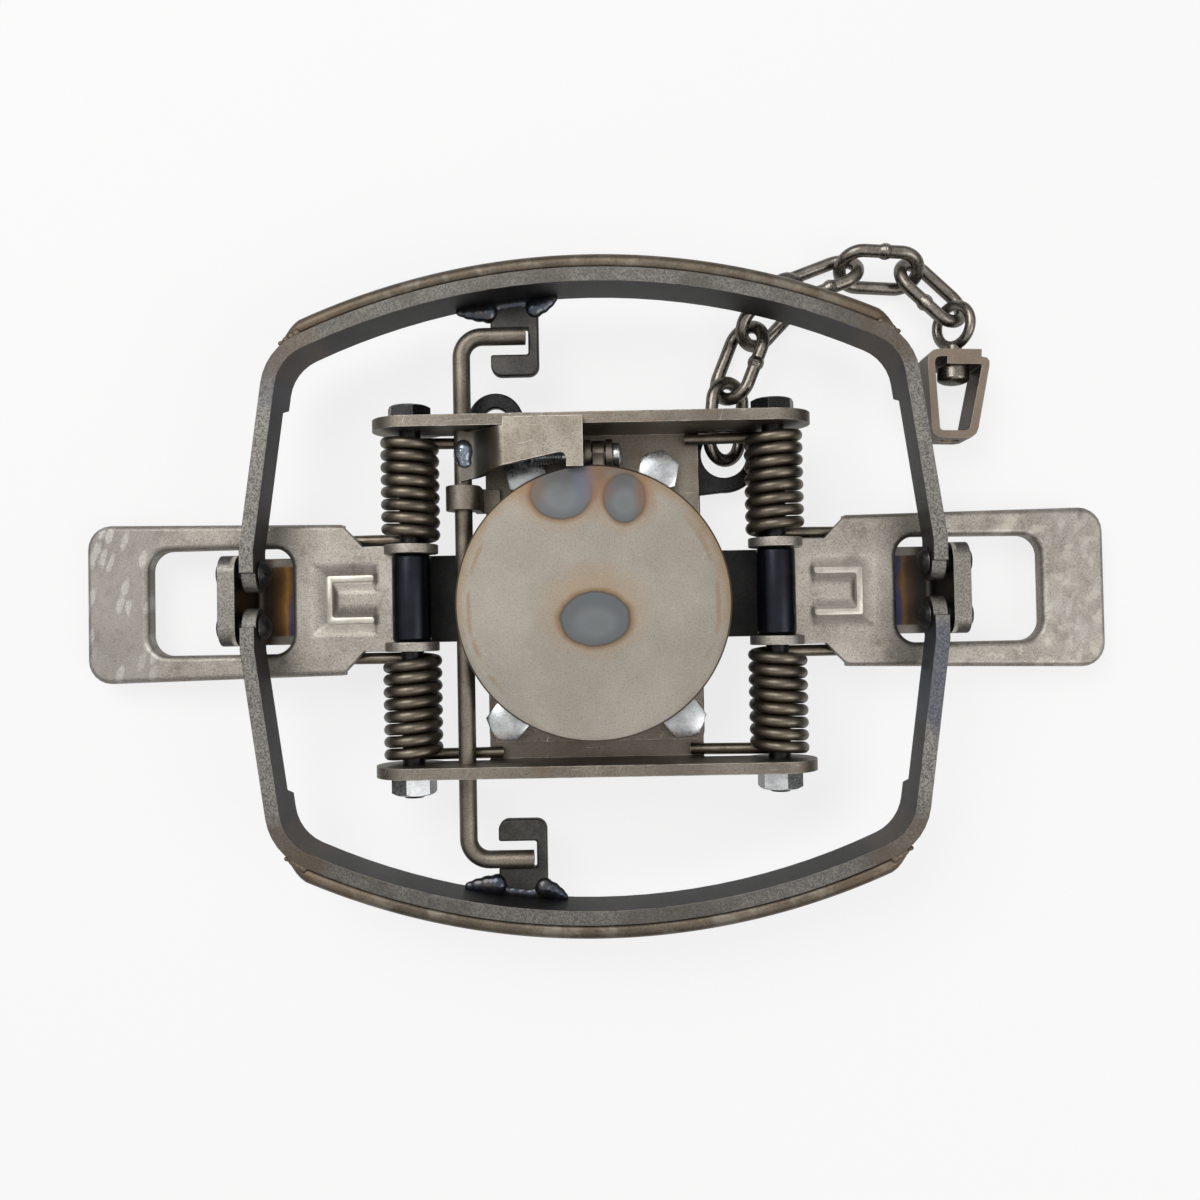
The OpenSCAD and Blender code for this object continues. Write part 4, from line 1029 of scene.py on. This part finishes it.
def jaw_rod(name, way, body):
    bm = bmesh.new()
    ring = bmesh.ops.create_circle(bm, segments=20, radius=jaw_rod_r * MM)["verts"]
    bmesh.ops.rotate(bm, verts=ring, cent=(0, 0, 0), matrix=Matrix.Rotation(math.radians(90), 3, "Y"))
    bmesh.ops.translate(bm, verts=ring, vec=on_bow(0, rod_r) + mm(0, 0, rod_z))
    heart = mm(0, bow_y, 0)
    bmesh.ops.rotate(bm, verts=ring, cent=heart, matrix=Matrix.Rotation(rod_half, 3, "Z"))
    first = bm.edges[:]
    drawn = bmesh.ops.spin(bm, geom=first, cent=heart, axis=(0, 0, 1), dvec=(0, 0, 0),
                           angle=-2 * rod_half, steps=72)["geom_last"]
    for loop, sign in ((first, -1), (edges_in(drawn), 1)):
        for step in (1, 2, 3, 4):
            tip, loop = next_ring(bm, loop)
            mid = sum((v.co for v in tip), Vector()) / len(tip)
            aim = on_bow(sign * (rod_half + draw_turn * step), rod_r - draw_in * step * step)
            for v in tip:
                v.co = aim + mm(0, 0, rod_z) + (v.co - mid) * (draw_size - draw_less * step)
        bmesh.ops.edgeloop_fill(bm, edges=loop)
    bmesh.ops.scale(bm, verts=bm.verts, vec=(1, way, 1))
    return new_piece(closed(bm), "drawn_" + name, body, "jaw_rod_steel", (name,))


def melted(name, body, slot, drops, stands_for=(), voxel=0.35, finish=None):
    """Weld metal: drops given as place and radii in millimetres, melted into one skin."""
    bm = bmesh.new()
    for place, radii in drops:
        ball = bmesh.ops.create_icosphere(bm, subdivisions=3, radius=MM)["verts"]
        bmesh.ops.scale(bm, verts=ball, vec=radii)
        bmesh.ops.translate(bm, verts=ball, vec=mm(*place))
    piece = new_piece(bm, name, body, slot, stands_for, finish)
    melt = piece.modifiers.new("melt", "REMESH")
    melt.mode = "VOXEL"
    melt.voxel_size = voxel * MM
    melt.use_smooth_shade = True
    piece.modifiers.new("cool", "SMOOTH").iterations = 12
    skin = bpy.data.meshes.new_from_object(piece.evaluated_get(bpy.context.evaluated_depsgraph_get()))
    piece.modifiers.clear()
    piece.data = skin
    print(name, len(skin.polygons), "faces")
    return piece


# %% Welds
tab_left, tab_top, root_step = -28.4, 17.2, 2.5
tack_sizes = (1.5, 1.25, 1.0, 0.8)
tack_from, tack_step, tack_out, tack_up = 0.010, 0.009, 0.55, 1.6


def inner_wall(x):
    return bow_y + math.sqrt((bow_r - jaw_t) ** 2 - x * x)


def tab_weld(way):
    """Two smooth wings along the jaw's wall and a flat run across the tab's root, as drops.

    Each is given as x, depth from the wall, and radii along and out of the wall."""
    left_wing = ((-28.9, 2.4, 2.8, 3.4), (-31.6, 2.0, 3.0, 2.9), (-34.3, 1.4, 2.6, 2.3),
                 (-36.6, 0.8, 1.9, 1.6))
    right_wing = ((-15.6, 3.0, 2.7, 3.1), (-13.4, 2.3, 2.5, 2.6), (-11.6, 1.3, 2.1, 2.2),
                  (-10.2, 0.5, 1.5, 1.6))
    root = tuple((tab_left + root_step * k + 1.6, 0.9, 2.3, 1.9) for k in range(5))
    drops = []
    for x, depth, wide, deep in left_wing + root + right_wing:
        thick = 0.6 * deep
        place = (x, way * (inner_wall(x) - depth), tab_top - 0.9 + 0.25 * thick)
        drops.append((place, (wide, deep, thick)))
    return drops


def rod_tacks(way):
    """Small beads where the rod's drawn ends meet the bar."""
    drops = []
    for sign in (-1, 1):
        for k, size in enumerate(tack_sizes):
            angle = sign * (rod_half + tack_from + tack_step * k)
            place = on_bow(angle, bow_r + tack_out - 0.1 * k) / MM
            drops.append(((place.x, way * place.y, rod_z + tack_up - 0.2 * k), (size, size, size * 0.8)))
    return drops


for way, word in ((1, "rear"), (-1, "front")):
    body = word + "_jaw_body"
    jaw_rod(word + "_jaw_rod", way, body)
    melted(word + "_tab_bead", body, "weld_metal", tab_weld(way), (word + "_tab_weld",))
    melted(word + "_rod_tacks", body, "jaw_rod_steel", rod_tacks(way), voxel=0.25)

drops = (((-35.7, 40.6, 23.9), (2.8, 3.7, 2.1)), ((-37.1, 40.3, 22.9), (1.7, 3.3, 1.7)),
         ((-35.4, 37.5, 23.9), (2.2, 1.7, 1.6)), ((-36.2, 40.6, 25.75), (0.8, 0.8, 0.45)))
melted("catch_bead", "trigger", "weld_metal", drops, ("trigger_weld",), 0.22, "bead_metal")

# %% [markdown]
# ## Chain welds and rivet
# Every link is closed by a butt weld on one long side, which stands out as a ring of metal. The eye of the
# end swivel is riveted inside its box, and the rivet is a hammered dome.

# %% Chain welds and rivet
link_rolls = (38, -45, 45, -45, 48, -38)
link_arc, link_r, link_lift, weld_off = 6.1, 1.9, 0.05, 0.6
weld_ring = [(-1.7, 0), (-1.7, 1.85), (-0.9, 2.2), (-0.25, 2.42), (0.0, 2.3), (0.3, 2.45), (1.0, 2.2),
             (1.7, 1.85), (1.7, 0)]
stops = [joint_at[f"link_{i}_swing"] for i in range(1, 7)] + [joint_at["end_eye_swing"]]
for i, roll in enumerate(link_rolls):
    run = stops[i + 1] - stops[i]
    middle = (stops[i] + stops[i + 1]) / 2
    tip = math.radians(roll)
    middle.z = (link_arc * abs(math.sin(tip)) + link_r + link_lift) * MM
    rolled = Matrix.Rotation(math.atan2(run.y, run.x), 4, "Z") @ Matrix.Rotation(tip, 4, "X")
    beside = Matrix.Translation(mm(weld_off, math.copysign(link_arc, roll), 0))
    place = Matrix.Translation(middle) @ rolled @ beside
    bm = bmesh.new()
    lathe(bm, weld_ring, place @ Matrix.Rotation(math.radians(90), 4, "Y"), 20)
    new_piece(closed(bm), f"link_weld_{i + 1}", f"link_{i + 1}", "chain_steel")

spin = next(j for j in frame["joints"] if j["name"] == "end_box_spin")
eye_axis = Vector(spin["axis"])
head_r, head_at, dome_foot, dome_h = 4.6, 15.5, 0.5, 1.7
steps = [math.radians(a) for a in range(15, 91, 15)]
dome = [(0, 0), (0, head_r), (dome_foot, head_r)]
dome += [(dome_foot + dome_h * math.sin(a), head_r * math.cos(a)) for a in steps]
along_eye = eye_axis.to_track_quat("Z", "Y").to_matrix().to_4x4()
bm = bmesh.new()
lathe(bm, dome, Matrix.Translation(Vector(spin["pos_m"]) + eye_axis * head_at * MM) @ along_eye, 32)
new_piece(closed(bm), "rivet_dome", "end_eye", "chain_steel")
print("link welds", len(link_rolls), "and one rivet dome")
